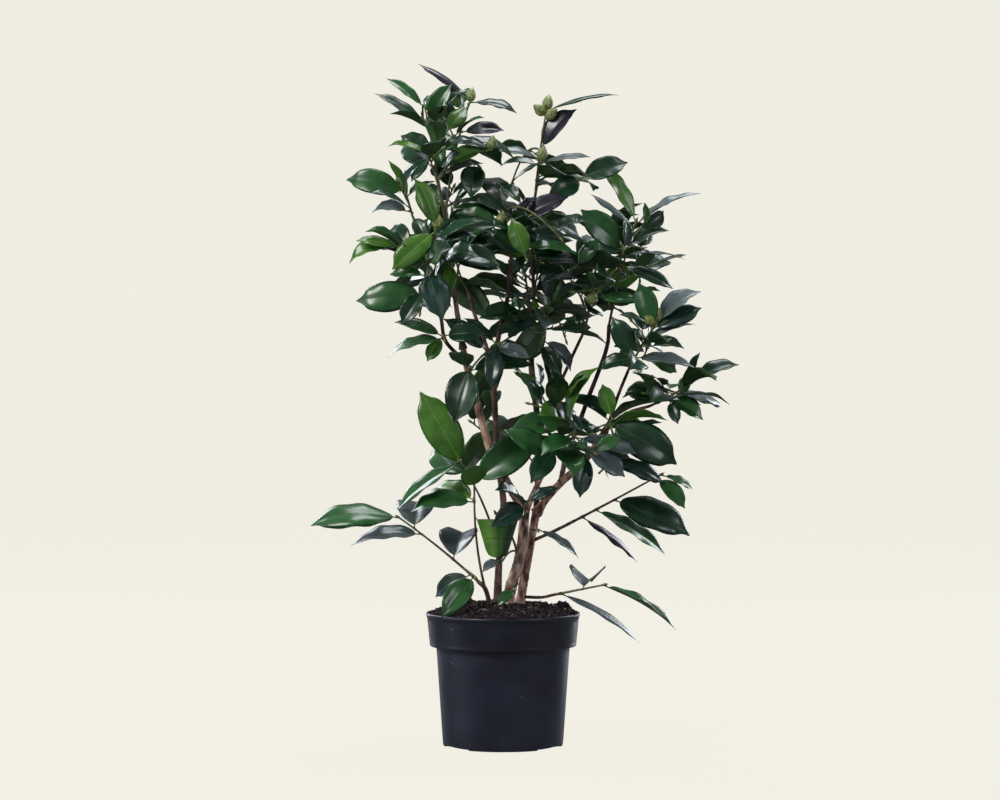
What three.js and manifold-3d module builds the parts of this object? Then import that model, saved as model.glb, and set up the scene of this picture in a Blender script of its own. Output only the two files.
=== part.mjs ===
// Camellia shrub growing in a round black nursery pot.
// Millimetres, +Z up, the front of the plant faces -Y.  The origin is the
// centre of the pot's underside, on the ground.
//
// The pot, the soil and every limb are one solid each.  Each mass of foliage
// is one solid too: twigs that branch from a single stem, with leaves and
// flower buds fused on.  The stem starts 0.4 mm clear of the limb it grows on.

import * as THREE from "three";
import { mergeVertices } from "three/addons/utils/BufferGeometryUtils.js";
import Module from "manifold-3d";

const wasm = await Module();
wasm.setup();

// ---------------------------------------------------------------- dimensions

// Pot: a tapering body with a wider, flared band round its top.
const POT_HEIGHT = 182;
const POT_RIM_RADIUS = 105;
const POT_BAND_HEIGHT = 45;
const POT_BAND_FOOT_RADIUS = 100;
const POT_BODY_TOP_RADIUS = 91.5;
const POT_FOOT_RADIUS = 82;
const POT_WALL = 2;
const POT_FLOOR = 4;
const POT_SEGMENTS = 40;

// Drainage notches in the lower edge, two on each side of the pot.
const NOTCH_BEARINGS = [-34, 34, 146, 214];
const NOTCH_WIDTH = 58;
const NOTCH_HEIGHT = 2.6;
const NOTCH_INNER_RADIUS = 72;

// Soil: heaped round the stems, a little below the rim at the wall.
const SOIL_RIM_DROP = 4;
const SOIL_STEM_HEIGHT = 193.6;
const SOIL_LEVEL_CENTRE = [8, 4];
const SOIL_LEVEL_RADIUS = 48;
const SOIL_LEVEL_FADE = 10;
const SOIL_EDGE_INSET = 0.5;
const SOIL_RINGS = 6;
// Lumps on the soil: [x, y, height, spread].
const SOIL_LUMPS = [
  [-54, 36, 10, 15],
  [82, 20, 8, 13],
  [44, -66, 4, 18],
  [-24, -72, 3, 20],
  [12, 74, 5, 22],
  [-76, -26, 3, 14],
];

// Clearance between neighbouring solids.
const CLEAR = 0.4;

// Limbs: how finely they are faceted, and the share of a trunk that flares.
const LIMB_SIDES = 6;
const LIMB_STEP = 34;
const FLARE_SHARE = 0.25;

// A leaf's length, and the rest of its shape as shares of its length.
const LEAF_LENGTH = 84;
const LEAF_WIDTH = 0.45;
const LEAF_ARCH = 0.07;
const LEAF_FOLD = 0.05;
const LEAF_TIP_DROP = 0.03;
const LEAF_THICKNESS = 0.024;

// Some leaves are rolled lengthwise and look narrow, and some lie open and look
// broad.  The cupped leaf by the stems is nearly as wide as it is long.
const NARROW_WIDTH = 0.32;
const BROAD_WIDTH = 0.58;
const CUP_WIDTH = 0.95;

// The two widest places of a leaf: how far along it they lie, and their share
// of the leaf's width.
const LEAF_NEAR = 0.32;
const LEAF_NEAR_WIDTH = 0.88;
const LEAF_FAR = 0.68;
const LEAF_FAR_WIDTH = 0.82;

// How far a leaf's root passes its twig's axis, the room kept round a leaf,
// and the share of its length, from the root, that may touch its neighbours.
const LEAF_ROOT = 0.7;
const LEAF_MARGIN = 0.8;
const LEAF_FREE_FROM = 0.12;

// The spiral of leaves down a shoot: the first one's distance below the tip,
// the step to the next, the share of the shoot that bears leaves, the turn
// from leaf to leaf, the rise of the first and the loss of rise per leaf.
const NODE_FIRST = 5;
const NODE_STEP = 16;
const NODE_REACH = 0.8;
const GOLDEN_TURN = 137.5;
const FIRST_RISE = 40;
const RISE_LOSS = 13;

// Leaves of the spiral grow larger down the shoot, up to the full-grown one.
// They tilt outward from the plant and lean along their shoot.
const YOUNG_SIZE = 0.8;
const SIZE_GAIN = 0.06;
const FULL_GROWN = 4;
const LEAF_TILT = 35;
const FOLLOW_SHOOT = 0.35;

// How widely the leaves of the spiral vary, and the swings tried in turn by a
// leaf whose place is taken.
const BEARING_SPREAD = 30;
const RISE_SPREAD = 30;
const SIZE_SPREAD = 0.24;
const TILT_SPREAD = 60;
const SPIRAL_SWINGS = [0, 40, -40, 80, -80];
const POSED_SWINGS = [0, 10, -10, 20, -20];

// Twigs.
const TWIG_BASE_RADIUS = 2.3;
const TWIG_TIP_RADIUS = 1.5;
const TWIG_STEP = 50;
const TWIG_SIDES = 3;

// A shoot bends at this share of its reach.  Branches leave the stem between
// two shares of its length.
const SHOOT_BEND = 0.45;
const FIRST_BRANCH = 0.2;
const LAST_BRANCH = 0.7;

// Flower buds: the first stands nearly upright on the tip of its shoot, and
// the others lean out just below it.
const BUD_LENGTH = 22;
const BUD_RADIUS = 8;
const BUD_SIDES = 5;
const BUD_BEARING = 60;
const BUD_TOP_RISE = 70;
const BUD_SIDE_RISE = 35;
const BUD_STEP = 0.03;

const BARK = { color: 0x5b4034, roughness: 0.8, metalness: 0 };
const FOLIAGE = { color: 0x16301d, roughness: 0.35, metalness: 0 };
const POT_PLASTIC = { color: 0x17181c, roughness: 0.45, metalness: 0 };
const SOIL_EARTH = { color: 0x2a1f1d, roughness: 1, metalness: 0 };

// Limbs, from the soil upward: the points of the centre line, and the radius
// at its foot and at its tip.  A trunk starts in the soil, is cut flat just
// above it, and is widened there by its flare.  A bough starts on the centre
// line of the limb it grows on, at a share of that limb's length.
const LIMBS = {
  trunk_main: {
    line: [[4, -8, 180], [11, -8, 218], [21, -7, 250], [27, -6, 284], [30, -6, 322]],
    radii: [8, 6.6],
    flare: 3.5,
  },
  trunk_right: {
    line: [[21, 16, 180], [27, 16, 214], [33, 15, 248], [39, 13, 282], [46, 10, 320]],
    radii: [6.4, 5.4],
    flare: 3,
  },
  trunk_left: {
    line: [[-8, 17, 180], [-5, 22, 252], [1, 26, 323], [-5, 27, 375], [-9, 26, 427], [-14, 20, 518]],
    radii: [4.8, 4],
    flare: 1.4,
  },
  sucker_left: {
    line: [[-15, -5, 182], [-24, -8, 214], [-34, -10, 225]],
    radii: [3.4, 2.8],
    flare: 1.5,
  },
  bough_left: {
    on: "trunk_main",
    at: 0.98,
    line: [[11, -12, 351], [-5, -18, 381], [-19, -22, 409], [-45, -30, 503], [-54, -32, 542]],
    radii: [6.2, 4.2],
  },
  bough_left_high: {
    on: "bough_left",
    at: 1,
    line: [[-62, -36, 592], [-68, -38, 636], [-72, -36, 673]],
    radii: [3.9, 2.6],
  },
  bough_left_front: {
    on: "bough_left",
    at: 0.89,
    line: [[-77, -60, 553], [-84, -80, 587], [-99, -95, 610]],
    radii: [2.8, 2.1],
  },
  bough_left_back: {
    on: "trunk_left",
    at: 0.99,
    line: [[-26, 50, 553], [-40, 84, 591], [-49, 110, 622]],
    radii: [3.2, 2.2],
  },
  bough_inner: {
    on: "trunk_left",
    at: 1,
    line: [[-5, 14, 562], [6, 8, 611], [11, 0, 652]],
    radii: [3.6, 2.4],
  },
  bough_centre: {
    on: "trunk_main",
    at: 0.97,
    line: [[45, -20, 353], [62, -38, 391], [76, -52, 420]],
    radii: [4.2, 3],
  },
  bough_right: {
    on: "trunk_right",
    at: 0.98,
    line: [[70, 0, 350], [109, -14, 388], [128, -20, 414], [144, -24, 440]],
    radii: [5.4, 4.2],
  },
  bough_right_high: {
    on: "bough_right",
    at: 0.99,
    line: [[155, -30, 476], [169, -38, 512]],
    radii: [2.6, 2],
  },
  bough_right_out: {
    on: "bough_right",
    at: 0.97,
    line: [[170, -14, 455], [200, -6, 464]],
    radii: [2.6, 2],
  },
  bough_outer: {
    on: "bough_right",
    at: 0.31,
    line: [[86, 20, 392], [100, 34, 427], [117, 44, 472], [142, 48, 539], [146, 44, 574]],
    radii: [3.6, 2.6],
  },
  bough_upright: {
    on: "trunk_right",
    at: 0.97,
    line: [[48, 30, 375], [50, 42, 427], [40, 52, 526], [43, 50, 581], [40, 42, 691]],
    radii: [3.9, 2.3],
  },
  bough_slant: {
    on: "bough_upright",
    at: 0.4,
    line: [[62, 58, 463], [80, 72, 495], [99, 84, 536], [113, 92, 565]],
    radii: [2.8, 2],
  },
  bough_back: {
    on: "bough_upright",
    at: 0.38,
    line: [[43, 76, 470], [38, 108, 516], [41, 130, 558]],
    radii: [2.8, 2],
  },
  bough_low_right: {
    on: "trunk_right",
    at: 0.72,
    line: [[70, 0, 293], [98, -12, 308]],
    radii: [2.4, 2],
  },
  bough_foot_right: {
    on: "trunk_right",
    at: 0.16,
    line: [[52, 4, 202], [72, -8, 207]],
    radii: [2.2, 1.9],
  },
};

// One shoot: its tip, how many leaves it bears, the bearing of the first, and
// the leaves that stand in a place of their own, each as [distance below the
// tip, bearing, rise, length, face, width].  Bearings turn from +X towards +Y,
// rise is above level, face is the tilt of the upper side towards the front,
// and the width is given where it isn't the usual share of the length.
function shoot(tip, leaves, turn, posed = [], buds = 0) {
  return { tip, leaves, turn, posed, buds };
}

// Masses of foliage: the limb each grows on, how far up that limb, and its
// shoots.  The first shoot is the stem, and the others branch from it.
const MASSES = {
  top_left: {
    on: "bough_left_high",
    at: 1,
    shoots: [
      shoot([-105, -44, 867], 7, 20, [
        [0, 180, 40, 66, 40, NARROW_WIDTH],
        [14, 325, 50, 60, 80],
        [26, 180, 35, 88, 30, NARROW_WIDTH],
        [32, 325, -25, 48, 75],
        [36, 275, -45, 52, 60],
      ]),
      shoot([-44, -14, 880], 7, 300, [
        [0, 178, 38, 86, 12, NARROW_WIDTH],
        [4, 350, -5, 66, 22],
        [8, 225, -40, 52, 55],
        [44, 352, 6, 60, 40],
      ], 1),
      shoot([-103, -92, 812], 5, 330, [
        [11, 180, 15, 56, 25],
        [15, 225, -45, 46, 60],
      ]),
      shoot([-15, -50, 811], 5, 200, [
        [7, 190, -15, 56, 60],
        [0, 180, 15, 62, 30],
        [14, 10, 35, 58, 20],
      ], 1),
      shoot([-34, -30, 791], 5, 70, [
        [0, 195, 30, 56, 40],
        [4, 262, -58, 56, 80, BROAD_WIDTH],
      ]),
    ],
  },
  crown_top: {
    on: "bough_upright",
    at: 1,
    shoots: [
      shoot([60, 26, 871], 2, 100, [
        [4, 5, 15, 104, 6, NARROW_WIDTH],
        [54, 350, 52, 74, 40],
      ], 3),
      shoot([52, 6, 799], 5, 250, [
        [0, 180, 15, 60, 18],
        [4, 350, 10, 70, 25, NARROW_WIDTH],
        [8, 165, 5, 58, 20],
      ], 1),
      shoot([109, 10, 772], 5, 60, [
        [0, 215, -20, 60, 80],
        [4, 0, 20, 70, 72],
        [8, 340, -20, 48, 50],
      ]),
      shoot([13, 60, 771], 5, 160, [
        [0, 0, 35, 50, 10],
      ]),
    ],
  },
  inner_top: {
    on: "bough_inner",
    at: 1,
    shoots: [
      shoot([-7, -24, 763], 5, 120, [
        [0, 315, -25, 48, 50],
      ]),
      shoot([-4, -60, 708], 5, 200, [
        [0, 185, -5, 74, 60],
        [8, 185, 20, 66, 60],
      ], 1),
      shoot([31, -82, 665], 5, 0, [
        [0, 220, 65, 58, 80],
        [4, 180, 35, 62, 60],
      ]),
      shoot([34, -30, 722], 5, 90, [
        [9, 350, 25, 70, 60],
        [25, 335, 50, 50, 50],
      ]),
      shoot([-39, -30, 668], 5, 30),
      shoot([77, -60, 692], 5, 330, [
        [11, 0, 15, 52, 35],
        [5, 0, -15, 50, 15],
      ]),
    ],
  },
  left_shoulder: {
    on: "bough_left_front",
    at: 1,
    shoots: [
      shoot([-88, -112, 705], 5, 60, [
        [0, 205, 65, 72, 40],
        [4, 195, -40, 78, 75],
      ], 1),
      shoot([-130, -88, 753], 5, 100, [
        [0, 180, 15, 82, 68],
        [22, 195, 25, 64, 26],
        [26, 170, 5, 56, 35],
        [30, 295, -50, 46, 70],
        [12, 172, 66, 62, 15, NARROW_WIDTH],
      ]),
      shoot([-143, -104, 681], 5, 100, [
        [1, 180, -15, 68, 35],
        [5, 190, 10, 60, 33],
        [9, 165, 30, 56, 12],
      ]),
      shoot([-105, -104, 617], 5, 100, [
        [0, 180, -5, 92, 80],
        [3, 205, -52, 56, 62],
        [18, 170, 5, 52, 45],
      ]),
      shoot([-68, -96, 659], 5, 300, [
        [0, 250, -60, 52, 80],
        [4, 350, -8, 68, 45],
      ]),
    ],
  },
  left_front: {
    on: "bough_left_front",
    at: 0.4,
    shoots: [
      shoot([-79, -88, 556], 5, 240, [
        [2, 185, -15, 80, 23],
        [6, 175, 20, 70, 25],
        [10, 340, 5, 58, 70],
        [14, 220, -50, 44, 60],
      ]),
    ],
  },
  left_low: {
    on: "bough_left",
    at: 0.8,
    shoots: [
      shoot([-44, -68, 519], 4, 300, [
        [0, 225, -68, 80, 80, BROAD_WIDTH],
      ]),
      shoot([-9, -70, 549], 5, 300, [
        [0, 255, -65, 64, 75],
        [4, 345, -15, 52, 60],
      ]),
    ],
  },
  left_back: {
    on: "bough_left_back",
    at: 1,
    shoots: [
      shoot([-88, 118, 661], 5, 150),
      shoot([-71, 90, 733], 5, 30),
      shoot([-26, 140, 697], 5, 80),
      shoot([-115, 104, 591], 5, 170),
    ],
  },
  centre_front: {
    on: "bough_centre",
    at: 1,
    shoots: [
      shoot([88, -64, 442], 5, 200, [
        [2, 0, 65, 90, 10],
        [6, 190, 0, 76, 50],
      ]),
      shoot([65, -78, 399], 5, 240, [
        [0, 200, 30, 74, 75],
        [4, 345, -20, 54, 60],
        [8, 212, -38, 66, 70],
      ]),
      shoot([111, -92, 405], 5, 300, [
        [0, 240, -75, 62, 80],
        [6, 350, -32, 68, 55],
      ]),
      shoot([36, -70, 469], 5, 200),
    ],
  },
  right_knot: {
    on: "bough_right",
    at: 0.8,
    shoots: [
      shoot([147, -62, 447], 5, 260, [
        [0, 180, 75, 50, 75],
        [10, 355, -30, 106, 75],
        [6, 180, 25, 78, 18],
      ]),
      shoot([144, -60, 393], 5, 250, [
        [0, 0, -20, 80, 35],
        [9, 350, 10, 54, 40],
      ]),
      shoot([133, 24, 372], 5, 30),
    ],
  },
  right_high: {
    on: "bough_right_high",
    at: 1,
    shoots: [
      shoot([208, -44, 579], 5, 330, [
        [8, 205, 70, 64, 80],
        [12, 0, 25, 74, 43],
        [0, 20, 35, 74, 30],
      ], 2),
      shoot([176, -66, 531], 5, 200, [
        [6, 200, 60, 62, 80],
        [12, 180, -15, 50, 50],
        [16, 355, -4, 82, 25],
      ]),
      shoot([192, -10, 532], 5, 60, [
        [0, 355, -25, 50, 55],
        [12, 15, 0, 54, 40],
      ]),
    ],
  },
  right_out: {
    on: "bough_right_out",
    at: 1,
    shoots: [
      shoot([256, 10, 494], 5, 60, [
        [0, 0, 25, 72, 28],
        [5, 15, 70, 50, 20, NARROW_WIDTH],
      ]),
      shoot([229, -24, 475], 5, 330, [
        [14, 350, -25, 58, 43],
        [7, 300, -55, 40, 75],
        [20, 180, 15, 52, 45],
      ]),
      shoot([216, 44, 468], 5, 100),
    ],
  },
  outer_top: {
    on: "bough_outer",
    at: 1,
    shoots: [
      shoot([182, 20, 715], 5, 0, [
        [0, 185, 60, 94, 32, NARROW_WIDTH],
        [8, 180, 40, 76, 17, NARROW_WIDTH],
        [4, 0, 30, 100, 15, NARROW_WIDTH],
        [30, 0, 22, 58, 30],
      ]),
      shoot([162, -14, 679], 5, 300, [
        [0, 205, 40, 80, 80],
        [30, 355, -22, 80, 30],
        [6, 200, 5, 54, 45],
        [12, 10, 0, 92, 5, NARROW_WIDTH],
      ]),
      shoot([99, -30, 652], 5, 200, [
        [0, 335, 50, 50, 60],
      ]),
      shoot([118, -34, 600], 5, 260, [
        [9, 0, 0, 64, 30],
      ], 1),
      shoot([189, 64, 636], 5, 40),
    ],
  },
  slant_top: {
    on: "bough_slant",
    at: 1,
    shoots: [
      shoot([124, 104, 655], 5, 80),
      shoot([74, 116, 661], 5, 140),
      shoot([164, 124, 602], 5, 20),
      shoot([73, 70, 608], 5, 240),
      shoot([146, 90, 697], 5, 0),
    ],
  },
  upright_mid: {
    on: "bough_upright",
    at: 0.72,
    shoots: [
      shoot([70, -4, 608], 5, 280, [
        [0, 340, 30, 46, 70],
        [6, 220, 70, 50, 45],
      ]),
      shoot([23, -20, 592], 5, 250, [
        [10, 190, -5, 62, 60],
      ]),
      shoot([50, -10, 543], 5, 300, [
        [5, 320, -50, 56, 80],
        [0, 345, -70, 66, 15],
        [9, 10, -45, 60, 40],
      ]),
    ],
  },
  back_high: {
    on: "bough_back",
    at: 1,
    shoots: [
      shoot([24, 150, 678], 5, 90),
      shoot([68, 110, 717], 5, 60),
      shoot([-4, 174, 602], 5, 120),
      shoot([89, 168, 551], 5, 50),
      shoot([47, 180, 622], 5, 200),
    ],
  },
  back_low: {
    on: "trunk_left",
    at: 0.6,
    shoots: [
      shoot([-40, 110, 469], 5, 120),
      shoot([-4, 134, 426], 5, 80),
      shoot([52, 124, 370], 5, 60),
    ],
  },
  left_ground: {
    on: "sucker_left",
    at: 1,
    shoots: [
      shoot([-140, -60, 315], 4, 240, [
        [0, 180, 0, 120, 32],
        [26, 90, 22, 92, 0, BROAD_WIDTH],
        [39, 185, -5, 98, 24],
        [97, 80, 24, 90, 5, BROAD_WIDTH],
      ]),
      shoot([-39, -34, 234], 2, 200, [
        [0, 225, -40, 80, 70],
        [3, 172, -30, 60, 50],
      ]),
    ],
  },
  left_upright: {
    on: "sucker_left",
    at: 0.5,
    shoots: [
      shoot([-38, -40, 376], 4, 0, [
        [12, 5, 35, 100, 75],
        [39, 185, -5, 88, 38],
      ]),
    ],
  },
  left_cross: {
    on: "trunk_left",
    at: 0.2,
    shoots: [
      shoot([-58, -30, 389], 4, 180, [
        [6, 190, 60, 116, 80],
        [0, 180, -35, 108, 25, NARROW_WIDTH],
      ]),
    ],
  },
  low_right: {
    on: "bough_foot_right",
    at: 1,
    shoots: [
      shoot([136, -34, 222], 3, 0, [
        [0, 0, -30, 118, 8, NARROW_WIDTH],
        [28, 80, 6, 80, 0, BROAD_WIDTH],
        [63, 0, -29, 128, 8, NARROW_WIDTH],
      ]),
    ],
  },
  mid_right: {
    on: "bough_low_right",
    at: 1,
    shoots: [
      shoot([212, -50, 372], 5, 0, [
        [6, 345, -45, 58, 55],
        [0, 0, -20, 50, 20],
        [70, 355, -22, 114, 50],
        [100, 355, -31, 112, 25, NARROW_WIDTH],
        [124, 0, -36, 98, 12, NARROW_WIDTH],
      ]),
    ],
  },
  foot_left: {
    on: "trunk_main",
    at: 0.5,
    shoots: [
      shoot([-9, -46, 320], 1, 180, [
        [0, 262, -80, 60, 85, CUP_WIDTH],
      ]),
      shoot([1, -42, 258], 1, 180, [
        [0, 190, -30, 34, 50],
      ]),
    ],
  },
  foot_right: {
    on: "trunk_right",
    at: 0.8,
    shoots: [
      shoot([48, -24, 295], 1, 0, [
        [10, 345, -30, 70, 18, NARROW_WIDTH],
      ]),
    ],
  },
  foot_front: {
    on: "trunk_main",
    at: 0.14,
    shoots: [
      shoot([17, -40, 217], 1, 90, [
        [0, 225, -28, 38, 55],
      ]),
    ],
  },
  fork_leaves: {
    on: "trunk_main",
    at: 0.9,
    shoots: [
      shoot([31, -52, 334], 3, 0, [
        [12, 222, -22, 66, 75],
        [0, 350, 30, 50, 35],
      ]),
    ],
  },
};

// Openings through the crown, seen from the front, that no leaf of a spiral
// lies across: [x, z, half-width, half-height].
const OPENINGS = [
  [4, 850, 22, 30],
  [36, 872, 14, 20],
  [34, 772, 18, 26],
  [140, 740, 26, 22],
  [98, 736, 24, 15],
  [16, 462, 24, 26],
  [96, 535, 20, 24],
  [140, 520, 16, 34],
  [-52, 490, 16, 22],
  [112, 478, 20, 20],
  [-140, 790, 22, 22],
  [-60, 640, 8, 20],
  [60, 500, 12, 24],
  [16, 790, 24, 13],
  [32, 629, 18, 16],
  [92, 610, 20, 17],
  [-40, 421, 18, 27],
  [246, 552, 18, 22],
  [228, 682, 24, 14],
  [62, 830, 22, 24],
  [134, 812, 22, 12],
  [-91, 536, 16, 18],
  [-30, 522, 10, 14],
  [124, 450, 16, 12],
  [222, 712, 12, 14],
  [98, 814, 18, 15],
  [252, 648, 18, 18],
  [62, 738, 20, 18],
];

// The shares of a leaf's length at which it is kept out of the openings.
const OPENING_REACHES = [0.3, 0.6, 0.95];

// -------------------------------------------------------------- small helpers

const vector = (values) => new THREE.Vector3(...values);
const radians = THREE.MathUtils.degToRad;

// A repeatable stream of numbers from 0 to 1 (mulberry32).
function randomFrom(seed) {
  let state = seed >>> 0;
  return () => {
    state = (state + 0x6d2b79f5) >>> 0;
    let mixed = Math.imul(state ^ (state >>> 15), 1 | state);
    mixed = (mixed + Math.imul(mixed ^ (mixed >>> 7), 61 | mixed)) ^ mixed;
    return ((mixed ^ (mixed >>> 14)) >>> 0) / 4294967296;
  };
}

// The unit vector that points along a compass bearing and a rise, in degrees.
function heading(bearing, rise) {
  const level = Math.cos(radians(rise));
  return new THREE.Vector3(
    level * Math.cos(radians(bearing)),
    level * Math.sin(radians(bearing)),
    Math.sin(radians(rise)),
  );
}

// A closed three.js geometry as a solid that can be cut and joined.
function solidFrom(geometry) {
  const bare = geometry.clone();
  bare.deleteAttribute("normal");
  bare.deleteAttribute("uv");
  const merged = mergeVertices(bare, 1e-4);
  return new wasm.Manifold(new wasm.Mesh({
    numProp: 3,
    vertProperties: Float32Array.from(merged.attributes.position.array),
    triVerts: Uint32Array.from(merged.index.array),
  }));
}

// A solid back as a three.js geometry.
function geometryFrom(solid) {
  const mesh = solid.getMesh();
  const geometry = new THREE.BufferGeometry();
  geometry.setAttribute("position", new THREE.BufferAttribute(mesh.vertProperties, 3));
  geometry.setIndex(new THREE.BufferAttribute(mesh.triVerts, 1));
  geometry.computeVertexNormals();
  return geometry;
}

// A solid with the box round it, and whether two of those share any space.
function place(solid) {
  const { min, max } = solid.boundingBox();
  return { solid, box: new THREE.Box3(vector(min), vector(max)) };
}

function meets(one, other) {
  return one.box.intersectsBox(other.box) && !one.solid.intersect(other.solid).isEmpty();
}

// The largest of the separate bodies of a solid.
function largestPart(solid) {
  const parts = solid.decompose();
  return parts.reduce((best, part) => (part.volume() > best.volume() ? part : best));
}

// The axis that a curve runs along least, for a frame that never flips.
function steadyAxis(curve) {
  const chord = curve.getPoint(1).sub(curve.getPoint(0));
  const sizes = chord.toArray().map(Math.abs);
  const least = sizes.indexOf(Math.min(...sizes));
  return new THREE.Vector3().setComponent(least, 1);
}

// A closed tube along a curve, whose radius follows radiusAt(0 to 1).  Its two
// ends are moved outward by stretch.
function tubeAlong(curve, radiusAt, sides, steps, stretch = 0) {
  const geometry = new THREE.CylinderGeometry(1, 1, 1, sides, steps);
  const axis = steadyAxis(curve);
  const position = geometry.attributes.position;
  for (let i = 0; i < position.count; i += 1) {
    const along = THREE.MathUtils.clamp(position.getY(i) + 0.5, 0, 1);
    const tangent = curve.getTangent(along);
    const side = new THREE.Vector3().crossVectors(axis, tangent).normalize();
    const front = new THREE.Vector3().crossVectors(side, tangent);
    const radius = radiusAt(along);
    const point = curve.getPoint(along)
      .addScaledVector(side, position.getX(i) * radius)
      .addScaledVector(front, position.getZ(i) * radius);
    if (along === 0) point.addScaledVector(tangent, -stretch);
    if (along === 1) point.addScaledVector(tangent, stretch);
    position.setXYZ(i, ...point.toArray());
  }
  return geometry;
}

// ------------------------------------------------------------------- the pot

function potGeometry() {
  const bandFoot = POT_HEIGHT - POT_BAND_HEIGHT;
  const profile = [
    [0, 0],
    [POT_FOOT_RADIUS, 0],
    [POT_BODY_TOP_RADIUS, bandFoot],
    [POT_BAND_FOOT_RADIUS, bandFoot],
    [POT_RIM_RADIUS, POT_HEIGHT],
    [POT_RIM_RADIUS - POT_WALL, POT_HEIGHT],
    [POT_BAND_FOOT_RADIUS - POT_WALL, bandFoot + POT_WALL],
    [POT_BODY_TOP_RADIUS - POT_WALL, bandFoot + POT_WALL],
    [POT_FOOT_RADIUS - POT_WALL, POT_FLOOR],
    [0, POT_FLOOR],
  ].map(([radius, height]) => new THREE.Vector2(radius, height));
  const shell = new THREE.LatheGeometry(profile, POT_SEGMENTS).rotateX(Math.PI / 2);
  let pot = solidFrom(shell);
  for (const bearing of NOTCH_BEARINGS) {
    const notch = new THREE.BoxGeometry(POT_FOOT_RADIUS, NOTCH_WIDTH, 2 * NOTCH_HEIGHT)
      .translate(NOTCH_INNER_RADIUS + POT_FOOT_RADIUS / 2, 0, 0)
      .rotateZ(radians(bearing));
    pot = pot.subtract(solidFrom(notch));
  }
  return geometryFrom(pot);
}

// ------------------------------------------------------------------ the soil

// Height of the soil's surface, level where the stems stand.
function soilHeight(x, y) {
  const wall = POT_RIM_RADIUS - POT_WALL;
  const dome = Math.cos(Math.min(Math.hypot(x, y) / wall, 1) * Math.PI / 2) ** 0.5;
  const atWall = POT_HEIGHT - SOIL_RIM_DROP;
  let height = atWall + (SOIL_STEM_HEIGHT - atWall) * dome;
  for (const [lumpX, lumpY, lumpHeight, spread] of SOIL_LUMPS) {
    height += lumpHeight * Math.exp(-((Math.hypot(x - lumpX, y - lumpY) / spread) ** 2));
  }
  const fromStems = Math.hypot(x - SOIL_LEVEL_CENTRE[0], y - SOIL_LEVEL_CENTRE[1]);
  const free = THREE.MathUtils.smoothstep(
    fromStems, SOIL_LEVEL_RADIUS, SOIL_LEVEL_RADIUS + SOIL_LEVEL_FADE,
  );
  return SOIL_STEM_HEIGHT + (height - SOIL_STEM_HEIGHT) * free;
}

function soilGeometry() {
  const bandFoot = POT_HEIGHT - POT_BAND_HEIGHT + POT_WALL;
  const inset = POT_WALL + CLEAR;
  const surfaceRadius = POT_RIM_RADIUS - inset - SOIL_EDGE_INSET;
  const profile = [
    [0, POT_FLOOR + CLEAR],
    [POT_FOOT_RADIUS - inset, POT_FLOOR + CLEAR],
    [POT_BODY_TOP_RADIUS - inset, bandFoot + CLEAR],
    [POT_BAND_FOOT_RADIUS - inset, bandFoot + CLEAR],
    [surfaceRadius, POT_HEIGHT - SOIL_RIM_DROP],
  ];
  for (let ring = SOIL_RINGS - 1; ring >= 0; ring -= 1) {
    profile.push([surfaceRadius * ring / SOIL_RINGS, POT_HEIGHT]);
  }
  const points = profile.map(([radius, height]) => new THREE.Vector2(radius, height));
  const geometry = new THREE.LatheGeometry(points, POT_SEGMENTS).rotateX(Math.PI / 2);
  const position = geometry.attributes.position;
  for (let i = 0; i < position.count; i += 1) {
    if (position.getZ(i) > POT_HEIGHT - 0.01) {
      position.setZ(i, soilHeight(position.getX(i), position.getY(i)));
    }
  }
  return geometry;
}

// ----------------------------------------------------------------- the limbs

function limbCurve(limb, limbs) {
  const line = limb.line.map(vector);
  if (limb.on) line.unshift(limbs[limb.on].curve.getPoint(limb.at));
  return new THREE.CatmullRomCurve3(line, false, "catmullrom", 0.5);
}

// Radius along a limb, with a flare at the foot of a trunk.
function limbRadius(limb) {
  const [foot, tip] = limb.radii;
  return (along) => {
    const flare = Math.max(0, 1 - along / FLARE_SHARE) ** 2 * (limb.flare ?? 0);
    return foot + (tip - foot) * along + flare;
  };
}

function makeLimbs() {
  const limbs = {};
  const groundTop = SOIL_STEM_HEIGHT + CLEAR;
  const ground = solidFrom(
    new THREE.BoxGeometry(POT_RIM_RADIUS, POT_RIM_RADIUS, groundTop)
      .translate(...SOIL_LEVEL_CENTRE, groundTop / 2),
  );
  for (const [name, limb] of Object.entries(LIMBS)) {
    const curve = limbCurve(limb, limbs);
    const radius = limbRadius(limb);
    const steps = Math.ceil(curve.getLength() / LIMB_STEP);
    const roomy = (along) => radius(along) + CLEAR;
    const room = place(solidFrom(tubeAlong(curve, roomy, LIMB_SIDES, steps, CLEAR)));
    let solid = solidFrom(tubeAlong(curve, radius, LIMB_SIDES, steps)).subtract(ground);
    for (const earlier of Object.values(limbs)) {
      if (earlier.room.box.intersectsBox(room.box)) solid = solid.subtract(earlier.room.solid);
    }
    limbs[name] = { curve, room, solid: largestPart(solid) };
  }
  return limbs;
}

// ---------------------------------------------------------------- the leaves

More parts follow.
